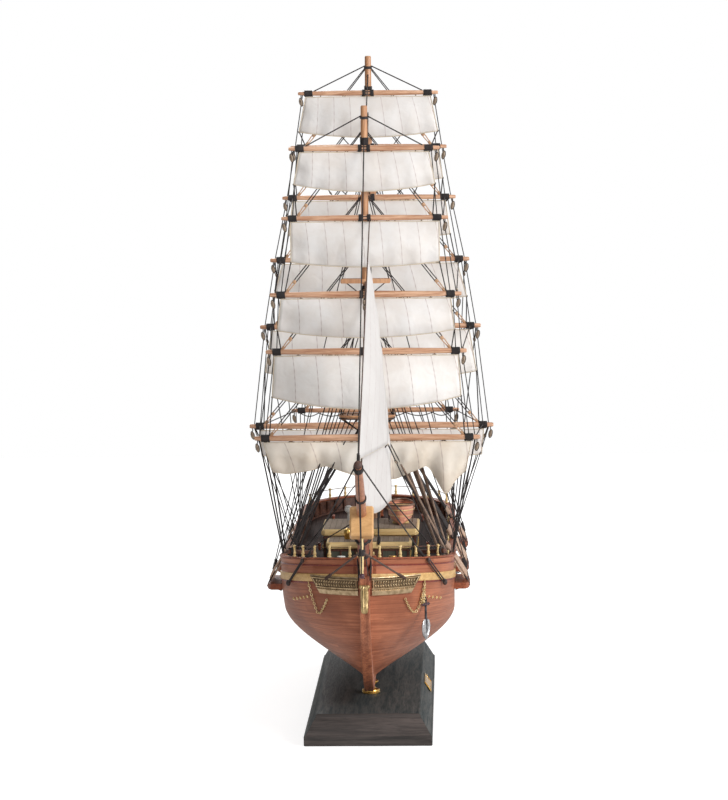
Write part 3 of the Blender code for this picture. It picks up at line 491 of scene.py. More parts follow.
def level_ends(level):
    stern = POST_Y + (STERN_Y - POST_Y) * ease((level - 0.5) / 0.35)
    return BOW_Y + FOREFOOT * (1 - level) ** 3, stern


def entry(level):
    """How the bow rounds at one level: the section's fullness, its length and its two powers."""
    rise = min(level / BILGE_H, 1)
    full = (1 - (1 - rise) ** 1.7) ** (1 / 1.9)
    return full, blend(0.24, 0.1, ease(level * 1.1)), blend(1.6, 2, level), blend(1.2, 2, level)


def breadth(level, y, grow=0):
    """Half-breadth of the hull at one level and place, pushed out by grow."""
    bow, stern = level_ends(level)
    bow, stern = bow - grow, stern + grow
    full, entrance, round_in, round_out = entry(level)
    fore = min(max((y - bow) / entrance, 0), 1)
    fore = (1 - (1 - fore) ** round_in) ** (1 / round_out)
    run = blend(0.22, 0.085, ease((level - 0.25) / 0.7))
    aft = min(max((stern - y) / run, 0), 1)
    aft = (1 - (1 - aft) ** blend(1.6, 2.2, level)) ** (1 / blend(1.1, 2.2, level))
    return max((BEAM_HALF + grow) * full * fore * aft, 0)


def bow_y(level, x, grow=0):
    """Where the bow's surface at one level stands this far from the middle."""
    full, entrance, round_in, round_out = entry(level)
    share = min(abs(x) / ((BEAM_HALF + grow) * full), 1)
    return level_ends(level)[0] - grow + entrance * (1 - (1 - share ** round_out) ** (1 / round_in))


def level_of(z, y):
    return (z - GARBOARD_Z) / (rail_z(y) - GARBOARD_Z)


def bow_spot(x, z, grow=0):
    """The point of the bow's surface at this breadth and height."""
    y = bow_y(0.9, x)
    for _ in range(4):
        y = bow_y(level_of(z, y), x, grow)
    return Vector((x, y, z))


def side_spot(y, down, grow=0, side=1):
    """The point of the hull's surface this far below the rail."""
    z = rail_z(y) - down
    return Vector((side * breadth(level_of(z, y), y, grow), y, z))


def mirrored(spot, side=-1):
    return Vector((side * spot.x, spot.y, spot.z))


HULL_COLUMNS, HEAD_HALF = 120, 0.0056


def round_hull(grow=0, down=0, narrow=HEAD_HALF, share=1, ends=None, columns=HULL_COLUMNS):
    """A line round the hull from the port bow past the stern to the starboard bow.

    It runs at a share of the height from the keel to where it would lie so far down from the
    rail, and it is pushed out by grow. Its ends are pushed out too, unless another value is given.
    """
    half, ends = [], grow if ends is None else ends
    for step in range(columns + 1):
        along = (1 - cos(pi * step / columns)) / 2
        level = share * (1 - down / (rail_z(blend(BOW_Y, STERN_Y, along)) - GARBOARD_Z))
        bow, stern = level_ends(level)
        y = blend(bow - ends, stern + ends, along)
        half.append(Vector((max(breadth(level, y, grow), narrow), y, blend(GARBOARD_Z, rail_z(y), level))))
    return half + [mirrored(spot) for spot in reversed(half)]


# Boards: which strip and which length of it a spot is on, as a shade, and the seams between.
board_pattern, given, gives = new_group(
    "board_pattern",
    [("Vector", "Vector", (0, 0, 0)), ("Length", "Float", 0.1), ("Seam", "Float", 0.08)],
    [("Shade", "Float"), ("Seams", "Float")])
parts = node(board_pattern, "SeparateXYZ", {0: given["Vector"]}).outputs
strip = sums(board_pattern, "FLOOR", parts[1])
shift = node(board_pattern, "TexWhiteNoise", {"W": strip}, noise_dimensions="1D").outputs["Value"]
run = sums(board_pattern, "ADD", sums(board_pattern, "DIVIDE", parts[0], given["Length"]), shift)
pair = node(board_pattern, "CombineXYZ", {0: strip, 1: sums(board_pattern, "FLOOR", run)}).outputs[0]
shade = node(board_pattern, "TexWhiteNoise", {"Vector": pair}, noise_dimensions="3D").outputs["Value"]
board_pattern.links.new(shade, gives["Shade"])
across = sums(board_pattern, "PINGPONG", parts[1], 0.5)
seam = node(board_pattern, "MapRange", {"Value": across, "From Max": given["Seam"], "To Min": 1,
                                        "To Max": 0}).outputs[0]
butt = sums(board_pattern, "MULTIPLY", sums(board_pattern, "PINGPONG", run, 0.5), given["Length"])
butt = between(board_pattern, butt, 0, 0.0003, 1, 0)
board_pattern.links.new(sums(board_pattern, "MAXIMUM", seam, butt), gives["Seams"])


def planked(name, dark, light, seam_colour, length, seam=0.08, stretch=(30, 8, 1), roughness=0.35,
            seam_bump=0.00012, seam_dark=0.85, cloudy=0.25, vary=0.45, **plain):
    """Boards laid side by side: the flat place runs along a board in metres and counts boards."""
    made, tree, shader = surface(name, roughness, **plain)
    flat = node(tree, "UVMap", uv_map="flat").outputs[0]
    boards = grouped(tree, board_pattern, {"Vector": flat, "Length": length, "Seam": seam})
    lift = node(tree, "CombineXYZ", {2: sums(tree, "MULTIPLY", boards["Shade"], 7)}).outputs[0]
    spot = node(tree, "VectorMath", {0: flat, 1: lift}, operation="ADD").outputs[0]
    grain = grouped(tree, wood_grain, {"Vector": spot, "Stretch": stretch})
    streaks = sums(tree, "MULTIPLY_ADD", grain["Streaks"], 1.2 - vary, -0.22)
    share = sums(tree, "MULTIPLY_ADD", boards["Shade"], vary, streaks)
    colour = mixed(tree, between(tree, share, 0, 0.7), dark, light)
    colour = mixed(tree, between(tree, grain["Fibres"], 0.54, 0.7, 0, 0.4), colour, dark)
    cloud = clouds(tree, spot_of(tree), 26, 3)
    colour = mixed(tree, between(tree, cloud, 0.42, 0.66, 0, cloudy), colour, dark)
    colour = mixed(tree, sums(tree, "MULTIPLY", boards["Seams"], seam_dark), colour, seam_colour)
    rough = between(tree, grain["Fibres"], 0.3, 0.7, roughness - 0.05, roughness + 0.12)
    height = sums(tree, "MULTIPLY_ADD", grain["Fibres"], 0.15, sums(tree, "MULTIPLY", boards["Seams"], -1))
    dress(tree, shader, colour, rough, height, 0.8, seam_bump)
    return made


hull_boards = planked("hull_boards", srgb(122, 68, 48), srgb(204, 130, 96), srgb(92, 52, 38), 0.115,
                      stretch=(14, 2.2, 1), roughness=0.44, seam_bump=0.00004, seam_dark=0.3, cloudy=0.6,
                      vary=0.14, Specular_IOR_Level=0.22, Coat_Weight=0.05, Coat_Roughness=0.25)
dark_mahogany = wood("dark_mahogany", srgb(62, 40, 34), srgb(112, 74, 58), (300, 22, 300),
                     roughness=0.4, Specular_IOR_Level=0.3, Coat_Weight=0.08, Coat_Roughness=0.2)
STRIPS, GROOVE = 26, 0.0035
hull = Shape()
rows, counts = [], []
for strip in range(STRIPS):
    low, high = strip / STRIPS, (strip + 1) / STRIPS
    for share, grow in ((low, -0.00005), (low + GROOVE, 0), (high - GROOVE, 0)):
        rows.append((share, grow))
        counts.append(share * STRIPS)
rows.append((1, -0.00005))
counts.append(STRIPS)
lines = [round_hull(grow, WALE_LOW, KEEL_HALF, share, ends=0) for share, grow in rows]


def run_lengths(line):
    gone, found = 0, [0]
    for before, after in zip(line, line[1:]):
        gone += (after - before).length
        found.append(gone)
    return found


along_hull = run_lengths(lines[-1])
hull.grid(lines, flat=lambda i, j: (along_hull[i], counts[j]))
# The bulwark's two planks, over the wale, and the wale's bed behind it.
bulwark_downs = ((WALE_LOW, 0, 40), (WALE_TOP, 0, 41), (WALE_TOP - 0.0003, 0, 41.04),
                 (0.0046, 0, 41.96), (0.0043, -0.0002, 42), (0.004, 0, 42.04), (0, 0, 42.9))
lines = [round_hull(grow, down, HEAD_HALF if down < WALE_TOP else KEEL_HALF)
         for down, grow, _ in bulwark_downs]
hull.grid(lines, flat=lambda i, j: (along_hull[i] * 0.8, bulwark_downs[j][2]))
piece("hull_planking", hull, [hull_boards], replaces=["hull"], sharp=40)

# Inner bulwark, its timbers and the covering board
# Dark varnished mahogany inside the bulwark, with upright timbers every centimetre and a flat
# covering board where the deck meets the side.
inside = Shape()
inner = [round_hull(-BULWARK_THICK, down) for down in (0, BULWARK_HIGH)]
inside.grid(inner, flat=lambda i, j: (along_hull[i], j))
board = [round_hull(grow, BULWARK_HIGH - rise, narrow=0.002)
         for grow, rise in ((-0.0028, 0.0012), (-0.0062, 0.0016), (-0.0062, -0.0002))]
inside.grid(board)
# How far apart the timbers stand, and how far from the middle the first ones.
TIMBER_STEP, HEAD_CLEAR = 0.0105, 0.012
walked, last = 0, inner[0][0]
for top, foot in zip(*inner):
    walked += (top - last).length
    last = top
    if walked > TIMBER_STEP and abs(top.x) > HEAD_CLEAR:
        walked = 0
        out = Vector((top.x, (top.y - 0.05) * 0.25, 0)).normalized()
        turn = Matrix.Rotation(atan2(out.y, out.x), 4, "Z")
        spot = (top + foot) / 2 - out * 0.001
        inside.block((0.0022, 0.0026, BULWARK_HIGH - 0.0006), Matrix.Translation(spot) @ turn, edge=0.0003)
piece("bulwark_timbers", inside, [dark_mahogany], replaces=["hull"])

# Deck
# Narrow mahogany planks laid fore and aft on a slight camber from bulwark to bulwark, with darker caulked
# seams. Their colours are darkened almost to black as painted shade for the shadow between the bulwarks and
# the houses.
# Both plank colours are near black: painted shade, not the mahogany's own tone.
deck_boards_painted_shade = planked("deck_boards_painted_shade", srgb(36, 27, 26), srgb(70, 51, 46), srgb(18, 12, 11), 0.075,
                      seam=0.09, stretch=(22, 2.4, 1), roughness=0.7, Specular_IOR_Level=0.05)
DECK_PLANK = 0.004
deck = Shape()
rows = []
for spot in round_hull(-BULWARK_THICK - 0.0005, BULWARK_HIGH, narrow=0)[:HULL_COLUMNS + 1]:
    rows.append([Vector((spot.x * k / 8, spot.y, deck_z(spot.y, spot.x * k / 8))) for k in range(-8, 9)])
deck.grid(rows)
deck.flats = [(deck.points[k].y, deck.points[k].x / DECK_PLANK + 40.5) for face in deck.faces for k in face]
piece("deck_planking", deck, [deck_boards_painted_shade], replaces=["hull"])

# Wale
# A bent strip of pale yellow boxwood along the side under the bulwark, with a thin dark red
# rubbing strip under it.
boxwood_along = wood("boxwood_along", srgb(184, 142, 84), srgb(224, 186, 124), (320, 18, 320),
                     roughness=0.42)
red_strip = wood("red_strip", srgb(92, 28, 22), srgb(138, 48, 34), (300, 20, 300), roughness=0.35)
wale = Shape()
for paint, section in (
    (0, ((WALE_TOP - 0.0002, 0), (WALE_TOP, 0.0007), (WALE_TOP + 0.0004, 0.0009),
         (WALE_LOW - 0.0004, 0.0009), (WALE_LOW, 0.0007), (WALE_LOW + 0.0001, 0))),
    (1, ((WALE_LOW, 0), (WALE_LOW + 0.0001, 0.0006), (WALE_LOW + 0.0008, 0.0008),
         (WALE_LOW + 0.0015, 0.0006), (WALE_LOW + 0.0016, -0.0001))),
    (1, ((0.0038, 0), (0.004, 0.0004), (0.0048, 0.0004), (0.005, 0))),
):
    wale.paint = paint
    wale.grid([round_hull(grow, down) for down, grow in section])
piece("wale_strips", wale, [boxwood_along, red_strip], replaces=["hull"])

# Keel, stem and sternpost
# One flat frame of darker mahogany, scarfed together, with its edges eased and the stem's face built of three
# thin layers.
stem_wood = wood("stem_mahogany", srgb(128, 72, 52), srgb(196, 126, 92), (300, 300, 26), roughness=0.4,
                 Specular_IOR_Level=0.25, Coat_Weight=0.1, Coat_Roughness=0.2)
stem = Shape()
inner_line, outer_line = [], []
for step in range(31):
    level = 0.9 * (1 - step / 30) ** 1.25
    y = level_ends(level)[0]
    z = blend(GARBOARD_Z, rail_z(y), level) - GAP * (1 - level)
    reach = 0.0085 * ease((z - 0.06) / 0.07) + 0.006
    inner_line.append(Vector((0, y - GAP, z)))
    outer_line.append(Vector((0, y - GAP - reach, z - 0.004 * (1 - ease((z - GARBOARD_Z) / 0.03)))))
outer_line[-1] = Vector((0, inner_line[-1].y - 0.002, KEEL_BOTTOM))
post_top = blend(GARBOARD_Z, rail_z(POST_Y), 0.5) - 0.002
inner_line += [Vector((0, POST_Y + GAP, GARBOARD_Z - GAP)), Vector((0, POST_Y + GAP, post_top))]
outer_line += [Vector((0, POST_Y + 0.007, KEEL_BOTTOM)), Vector((0, POST_Y + 0.007, post_top))]
EASED = 0.0007
# The frame's section: how far across, and how far from the outer edge towards the inner one.
STEM_SECTION = ((KEEL_HALF, 1), (KEEL_HALF, EASED), (KEEL_HALF - EASED, 0), (0.0018, 0),
                (0.0016, 0.0003), (-0.0016, 0.0003), (-0.0018, 0), (EASED - KEEL_HALF, 0),
                (-KEEL_HALF, EASED), (-KEEL_HALF, 1))
rows = []
for near, far in zip(outer_line, inner_line):
    into = (far - near).normalized()
    span = (far - near).length
    rows.append([near + into * (span if back == 1 else min(back, span)) + Vector((x, 0, 0))
                 for x, back in STEM_SECTION])
stem.grid(rows)
for row in (rows[0], rows[-1]):
    stem.fill(row)
stem.grid([[row[-1], row[0]] for row in rows])
piece("keel_and_stem", stem, [stem_wood], replaces=["keel"])

# Name boards
# Two antique brass castings bent round the bow: a moulded frame round a darkened panel with two
# rows of slanting leaves, and a row of beads below. They carry no lettering.
def facing(spot, *axes):
    """A place whose X, Y and Z axes point these three ways."""
    return Matrix.Translation(spot) @ Matrix(axes).transposed().to_4x4()


def bow_frame(x, z, grow=0, side=1):
    """A place on the bow whose Z axis points out of the hull and whose Y axis points up."""
    spot = bow_spot(x, z, grow)
    over = bow_spot(x + 0.0005, z, grow) - bow_spot(x - 0.0005, z, grow)
    up = bow_spot(x, z + 0.0005, grow) - bow_spot(x, z - 0.0005, grow)
    out = over.cross(up).normalized()
    spot, up, out = (mirrored(way, side) for way in (spot, up, out))
    out = out if out.y < 0 else -out
    up = square_to(up, out)
    return facing(spot, up.cross(out), up, out)


old_brass = brass_like("old_brass", srgb(214, 190, 154), srgb(172, 148, 116), 0.42, bump=0.00003, scale=1100)
brass_recess = brass_like("brass_recess", srgb(134, 116, 92), srgb(92, 80, 62), 0.55, scale=1300)
gilt = brass_like("gilt_brass", srgb(246, 224, 174), srgb(208, 182, 132), 0.36, bump=0.00003, scale=1000)
board_low, board_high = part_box("name_board_port")
BOARD_CUT, BOARD_BAND = 0.2, 0.9
# The board's section: share of its height, how far it stands out from the planks, and whether the
# band above is a darkened recess.
BOARD_SECTION = ((0, 0.0003, 0), (0, 0.0013, 0), (0.04, 0.0017, 0), (0.25, 0.0017, 0), (0.28, 0.0012, 1),
                 (0.33, 0.0012, 0), (0.36, 0.0018, 0), (0.39, 0.0018, 0), (0.41, 0.001, 1),
                 (0.82, 0.001, 0), (0.84, 0.0018, 0), (0.87, 0.0018, 0), (0.89, 0.0011, 1),
                 (0.93, 0.0011, 0), (0.95, 0.0019, 0), (1, 0.0016, 0), (1, 0.0003, 0))


def board_at(across, up):
    """How far out and how high a spot of the port board is, given as shares of the board."""
    return blend(board_low.x, board_high.x, across), blend(board_low.z, board_high.z, up)


def board_spot(side, across, up, out):
    end = 1 - BOARD_CUT * max(0, 1 - up / BOARD_BAND)
    return mirrored(bow_spot(*board_at(across * end, up), out), side)


PANEL_LEAVES, BAND_BEADS = 16, 20
for name, side in (("port", 1), ("starboard", -1)):
    board = Shape()
    rows = [[board_spot(side, k / 30, up, out) for k in range(31)] for up, out, _ in BOARD_SECTION]
    for low_row, high_row, (_, _, recess) in zip(rows, rows[1:], BOARD_SECTION):
        board.paint = recess
        board.grid([low_row, high_row])
    board.paint = 0
    board.fill([row[0] for row in rows])
    board.fill([row[-1] for row in rows])
    for across in (0.035, 0.965):
        board.tube([board_spot(side, across, up, 0.0014) for up in (0.38, 0.52, 0.7, 0.86)], 0.0005, sides=6)
    for k in range(PANEL_LEAVES):
        across = 0.08 + 0.84 * k / (PANEL_LEAVES - 1)
        for up, lean in ((0.52, 0.55), (0.71, -0.55)):
            place = bow_frame(*board_at(across * (1 - BOARD_CUT * 0.35), up), 0.0011, side)
            board.ball(place @ Matrix.Rotation(lean, 4, "Z"), (0.00062, 0.0014, 0.0008), steps=8)
    for k in range(BAND_BEADS):
        place = bow_frame(*board_at(0.04 + 0.74 * k / (BAND_BEADS - 1), 0.305), 0.0012, side)
        board.ball(place, (0.0004, 0.0004, 0.0004), steps=6)
    piece(f"name_board_relief_{name}", board, [old_brass, brass_recess],
          replaces=[f"name_board_{name}"], sharp=50)

# Bow chains and studs
# Brass chains hang in a loop from each name board's outer end, the port one doubled, and a row
# of small cast rosettes runs aft from the boards along the planks.
chains = Shape()
LINK_STEP, CHAIN_OUT = 0.8, 0.0014


def chain(spots, link, thick):
    """Links along a line, each turned a quarter to the one before."""
    line = [spots[0]]
    for before, after in zip(spots, spots[1:]):
        while (after - line[-1]).length > link * LINK_STEP:
            line.append(line[-1] + (after - line[-1]).normalized() * link * LINK_STEP)
    for k, (here, there) in enumerate(zip(line, line[1:])):
        along = (there - here).normalized()
        out = square_to(Vector((0, -1, 0)), along)
        turned = along.cross(out) if k % 2 else out
        chains.tube([(here + there) / 2 + along * (link * 0.5 * cos(a)) + turned * (link * 0.34 * sin(a))
                     for a in angles(8)], thick, sides=5, closed=True)


def hanging(start, end, low, side, bend=2, steps=24):
    """A loop on the bow between two (x, z) ends, lowest at low; a small bend makes it a V."""
    spots, top = [], max(start[1], end[1])
    for step in range(steps + 1):
        share = step / steps
        x, straight = blend(start[0], end[0], share), blend(start[1], end[1], share)
        curve = 1 - abs(2 * share - 1) ** bend
        z = straight - (top - low - (top - straight) * 0.5) * curve
        spots.append(mirrored(bow_spot(x, z, CHAIN_OUT), side))
    return spots


chain(hanging((0.0462, 0.1385), (0.0305, 0.1262), 0.1135, -1, bend=1.3), 0.0026, 0.00027)
chain(hanging((0.0478, 0.1385), (0.0316, 0.1262), 0.115, 1, bend=1.8), 0.0026, 0.0003)
for lowest in (0.118, 0.1215):
    chain(hanging((0.0474, 0.1385), (0.0452, 0.129), lowest, 1), 0.0024, 0.00034)
piece("bow_chains", chains, [gilt])
studs = Shape()
for side in (-1, 1):
    for k in range(5):
        place = bow_frame(0.0472 + 0.0031 * k, 0.1252 - 0.0013 * k, 0, side)
        studs.turned([(0, 0.0012), (0.0005, 0.0011), (0.0006, 0.0007), (0.0014, 0.0006), (0.0015, 0)],
                     place, steps=30, flutes=6, depth=0.34)
piece("bow_rosettes", studs, [gilt])

# Stem cap
# A fluted brass casting with a scroll on each shoulder, pinned over the stem head just under the
# bowsprit.
cap_brass = brass_like("cap_brass", srgb(210, 184, 136), srgb(150, 128, 88), 0.48, bump=0.00003, scale=1000)
low, _, middle, (_, _, tall) = box_of("stem_ornament")
cap_middle = Matrix.Translation((*middle[:2], low.z))
cap = Shape()
cap.turned([(0, tall), (0.0014, tall * 0.99), (0.003, tall * 0.94), (0.0033, tall * 0.88),
            (0.0028, tall * 0.84), (0.0034, tall * 0.78), (0.0033, tall * 0.52), (0.0029, tall * 0.3),
            (0.0033, tall * 0.26), (0.0031, tall * 0.2), (0.0029, tall * 0.12), (0.0023, tall * 0.07),
            (0.0012, tall * 0.045), (0, tall * 0.04)], cap_middle, steps=48, flutes=8, depth=0.26)
for side in (-1, 1):
    scroll = cap_middle @ Vector((side * 0.0027, -0.0004, tall * 0.93))
    cap.ball(scroll, (0.0013, 0.0013, 0.0013), steps=12)
    cap.hoop(scroll, (0, 1, 0), 0.0015, 0.00025)
piece("stem_cap", cap, [cap_brass], replaces=["stem_ornament"], sharp=60)

# Cap rail and knightheads
# Moulded mahogany rail round the top of the bulwark, open at the bow where the bowsprit passes
# between two upright timbers.
rail_wood = wood("rail_wood", srgb(108, 56, 38), srgb(170, 98, 68), (260, 22, 260), roughness=0.45,
                 Specular_IOR_Level=0.2, Coat_Weight=0.05, Coat_Roughness=0.2)
cap_rail = Shape()
RAIL_SECTION = ((0.0009, 0.0003), (0.0013, 0.0006), (0.0013, 0.0014), (0.0009, 0.0018), (-0.0036, 0.0018),
                (-0.0041, 0.0014), (-0.0041, 0.0006), (-0.0037, 0.0003), (0.0009, 0.0003))
lines = [[spot + Vector((0, 0, rise)) for spot in round_hull(grow)] for grow, rise in RAIL_SECTION]
cap_rail.grid(lines)
for end in (0, -1):
    cap_rail.fill([line[end] for line in lines[:-1]])
for side in (-1, 1):
    knighthead = (side * 0.0076, BOW_Y + 0.0035, rail_z(BOW_Y) - 0.006)
    cap_rail.block((0.0034, 0.006, 0.018), knighthead, edge=0.0006)
piece("cap_rail_and_knightheads", cap_rail, [rail_wood], replaces=["cap_rail"])

# Railings
# Turned boxwood stanchions on the rail at the bow and round the stern, bored near the top for one
# thin rod.
def rail_spot(distance, from_stern=False):
    """The place on the rail this far from the stem or the stern, along it."""
    curve = [spot.xy for spot in round_hull(-0.002, narrow=0, columns=160)[:161]]
    curve = curve[::-1] if from_stern else curve
    gone = 0
    for here, there in zip(curve, curve[1:]):
        length = (there - here).length
        if gone + length >= distance:
            return here.lerp(there, (distance - gone) / length)
        gone += length
    return curve[-1]


BOW_POSTS = (0.012, 0.03, 0.046, 0.062, 0.078)
STERN_POSTS = (0.016, 0.034, 0.052, 0.07, 0.088)
POST_HIGH = 0.008
STANCHION = ((0, POST_HIGH + 0.0014), (0.0008, POST_HIGH + 0.0012), (0.0014, POST_HIGH + 0.0005),
             (0.0014, POST_HIGH - 0.0003), (0.0008, POST_HIGH - 0.001), (0.001, POST_HIGH - 0.0016),
             (0.0008, POST_HIGH - 0.0022), (0.001, 0.0042), (0.0014, 0.0028), (0.0012, 0.0018),
             (0.0008, 0.0014), (0.0014, 0.0008), (0.0015, 0), (0, 0))
varnished = dict(Coat_Weight=0.2, Coat_Roughness=0.2)
pale_box = wood("pale_boxwood", srgb(206, 172, 108), srgb(238, 212, 156), (420, 420, 60), roughness=0.35,
                **varnished)
bow_half = [rail_spot(away) for away in BOW_POSTS]
stern_half = [rail_spot(away, from_stern=True) for away in STERN_POSTS]
stern_line = [Vector((-s.x, s.y)) for s in stern_half[::-1]] + [Vector((0, STERN_Y - 0.002))] + stern_half
for name, spots in (("bow_railing_port", bow_half),
                    ("bow_railing_starboard", [Vector((-s.x, s.y)) for s in bow_half]),
                    ("stern_railing", stern_line)):
    railing = Shape()
    feet = [Vector((s.x, s.y, rail_z(s.y) + 0.0021)) for s in spots]
    for foot in feet:
        railing.turned(STANCHION, foot, steps=12)
    railing.paint = 1
    railing.tube([foot + Vector((0, 0, POST_HIGH)) for foot in feet], 0.00034, sides=6)
    piece(f"{name}_turned", railing, [pale_box, dark_mahogany], replaces=[name])

# Rope
# Three-strand cotton thread, waxed: near-black for the standing rigging, brown for the running rigging and
# undyed for the lanyards. Each hank is laid up with a twist that shows close to, and each strand is painted
# lighter on its crown and darker in the groove beside it: painted shade of the lay, besides its bump.
rope_lay, given, gives = new_group(
    "rope_lay", [("Vector", "Vector", (0, 0, 0)), ("Pitch", "Float", 0.002)], [("Strands", "Float")])
parts = node(rope_lay, "SeparateXYZ", {0: given["Vector"]}).outputs
twist = sums(rope_lay, "DIVIDE", parts[1], given["Pitch"])
phase = sums(rope_lay, "MULTIPLY_ADD", parts[0], 3, sums(rope_lay, "MULTIPLY", twist, 3))
rope_lay.links.new(sums(rope_lay, "PINGPONG", phase, 0.5), gives["Strands"])


def rope(name, dark, light, pitch=0.0018):
    made, tree, shader = surface(name, 0.8)
    flat = node(tree, "UVMap", uv_map="flat").outputs[0]
    strands = grouped(tree, rope_lay, {"Vector": flat, "Pitch": pitch})[0]
    cloud = clouds(tree, spot_of(tree), 160)
    # The strands' crowns are painted light and their grooves dark: painted shade that follows the relief.
    share = sums(tree, "MULTIPLY_ADD", strands, 1.1, sums(tree, "MULTIPLY_ADD", cloud, 0.9, -0.4))
    dress(tree, shader, mixed(tree, between(tree, share, 0, 1), dark, light), None, strands, 0.8, 0.00012)
    return made


tarred = rope("tarred_rope", srgb(26, 23, 25), srgb(78, 70, 68))
brown_rope = rope("brown_rope", srgb(62, 46, 40), srgb(124, 98, 86))
tan_rope = rope("tan_rope", srgb(160, 130, 110), srgb(232, 204, 182))
cream_rope = rope("cream_rope", srgb(196, 178, 152), srgb(238, 230, 216), pitch=0.0012)
yard_thread = rope("yard_thread", srgb(176, 134, 102), srgb(234, 196, 160), pitch=0.0012)
STANDING_R, RUNNING_R, FINE_R = 0.0008, 0.00056, 0.00046


# Bowsprit
# A stout mahogany spar that comes up out of the deck between the knightheads, lashed down to the
# stem head by nine turns of black line over a small knee.
STEEVE = radians(29)
SPRIT_AT_STEM = Vector((0, -0.2704, 0.1526))
SPRIT_DIR = Vector((0, -cos(STEEVE), sin(STEEVE)))
SPRIT_UP = Vector((0, sin(STEEVE), cos(STEEVE)))
SPRIT_HEEL, SPRIT_LONG, SPRIT_R = 0.02, 0.081, 0.0048
LASHINGS, LASHING_R = 9, 0.0053


def sprit_point(along, up=0):
    return SPRIT_AT_STEM + SPRIT_DIR * along + SPRIT_UP * up


red_spar = wood("red_spar", srgb(116, 58, 44), srgb(166, 92, 66), (300, 30, 300), roughness=0.34,
                Coat_Weight=0.2, Coat_Roughness=0.15)
sprit = Shape()
sprit.tube([sprit_point(at) for at in (-SPRIT_HEEL, 0, 0.04, 0.07, SPRIT_LONG)],
           [SPRIT_R * size for size in (1, 1, 0.95, 0.88, 0.85)], sides=24)
knee = [(-0.2702, 0.1436), (-0.28, 0.1436), (-0.2866, 0.149), (-0.2866, 0.1556), (-0.2702, 0.1466)]
for x in (-0.0026, 0.0026):
    sprit.fill([Vector((x, y, z)) for y, z in knee])
sprit.grid([[Vector((x, y, z)) for y, z in knee + knee[:1]] for x in (-0.0026, 0.0026)])
sprit.paint = 1
for k in range(LASHINGS):
    centre = sprit_point(0.0045 + k * 0.00125)
    path = [centre + Vector((LASHING_R * cos(a), 0, 0)) + SPRIT_UP * (LASHING_R * sin(a))
            for a in angles(20)[:11]]
    path += [Vector((x, centre.y + 0.0015, 0.144)) for x in (-0.0043, 0.0043)]
    sprit.tube(path, 0.00055, sides=6, closed=True)
for at in (0.03, 0.058):
    sprit.wrap(sprit_point(at), sprit_point(at + 0.0045), SPRIT_R * 0.96 + 0.0003, 0.00045, 6)
piece("bowsprit_spar", sprit, [red_spar, tarred], replaces=["bowsprit"])

# Bowsprit cap
# A light hardwood block with eased edges, driven on the bowsprit's end and bored above it for the
# jibboom.
light_cap = wood("light_cap", srgb(192, 142, 88), srgb(226, 180, 124), (60, 300, 40), **varnished)
CAP_SIZE, CAP_RISE = (0.0185, 0.0095, 0.025), 0.003
cap_block = Shape()
cap_place = (Matrix.Translation(sprit_point(SPRIT_LONG + GAP + CAP_SIZE[1] / 2, CAP_RISE))
             @ Matrix.Rotation(-STEEVE, 4, "X"))
cap_block.block(CAP_SIZE, cap_place, edge=0.0013)
piece("bowsprit_cap_block", cap_block, [light_cap], replaces=["bowsprit_cap"])

# Jibboom
# A slimmer round spar over the bowsprit, through the cap, with a lashing at its heel, a ring half
# way out and turns of black line round its tip.
spar_finish = dict(roughness=0.36, **varnished)
spar_along = wood("spar_wood_fore_aft", srgb(150, 92, 66), srgb(198, 136, 102), (340, 30, 340),
                  **spar_finish)
JIB_R, JIB_START, JIB_END = 0.0038, 0.04, 0.186
JIB_LIFT = SPRIT_R + JIB_R + 0.0004
boom = Shape()
alongs = (JIB_START, JIB_START + 0.0006, 0.1, 0.12, 0.15, JIB_END - 0.008, JIB_END - 0.001, JIB_END)
boom.tube([sprit_point(at, JIB_LIFT) for at in alongs],
          [JIB_R * 0.8, JIB_R, JIB_R, JIB_R * 0.97, 0.0034, 0.0028, 0.0024, 0.0014], sides=24)
boom.paint = 1
boom.wrap(sprit_point(0.048, 0.006), sprit_point(0.056, 0.006), JIB_R + 0.003, 0.0005, 8)
boom.wrap(sprit_point(0.118, JIB_LIFT), sprit_point(0.1215, JIB_LIFT), JIB_R + 0.0003, 0.0006, 4)
boom.wrap(sprit_point(0.173, JIB_LIFT), sprit_point(0.18, JIB_LIFT), 0.0033, 0.0007, 6)
boom.paint = 2
boom.tube([sprit_point(at, JIB_LIFT) for at in (0.1815, 0.1822, 0.185, 0.1858, 0.1862)],
          [0.0026, 0.003, 0.0029, 0.0022, 0.001], sides=24)
boom.hoop(sprit_point(0.1835, JIB_LIFT), SPRIT_DIR, 0.0029, 0.0004)
leather = wood("brown_leather", srgb(62, 42, 36), srgb(104, 72, 60), (200, 200, 200), roughness=0.5)
piece("jibboom_spar", boom, [spar_along, tarred, leather], replaces=["jibboom"])

# Dolphin striker
# A turned boxwood spreader under the cap, with a black seizing, and a plum-coloured knob that
# the stays below the bowsprit pass over.
plum = wood("plum_knob", srgb(58, 34, 44), srgb(92, 58, 66), (300, 300, 300), roughness=0.3)
low, high, middle, _ = box_of("dolphin_striker")
head, foot = Vector((0, middle[1] + 0.002, high.z - 0.0002)), Vector((0, low.y + 0.0012, low.z))
striker = Shape()
STRIKER_R = (0.0014, 0.0012, 0.0015, 0.0012, 0.0013, 0.0015, 0.0016, 0.0016, 0.0015, 0.0016, 0.0012,
             0.0013, 0.0008)
striker.tube([head.lerp(foot, k / 12) for k in range(13)], STRIKER_R, sides=16)
striker.paint = 1
striker.wrap(head.lerp(foot, 0.28), head.lerp(foot, 0.44), 0.0019, 0.0006, 5)
striker.paint = 2
striker.ball(foot + Vector((0, 0, 0.0014)), (0.0022, 0.0022, 0.0022), steps=14)
piece("dolphin_striker_turned", striker, [pale_box, tarred, plum],
      replaces=["dolphin_striker"])
striker_foot, striker_band = foot + Vector((0, 0, 0.002)), head.lerp(foot, 0.36)

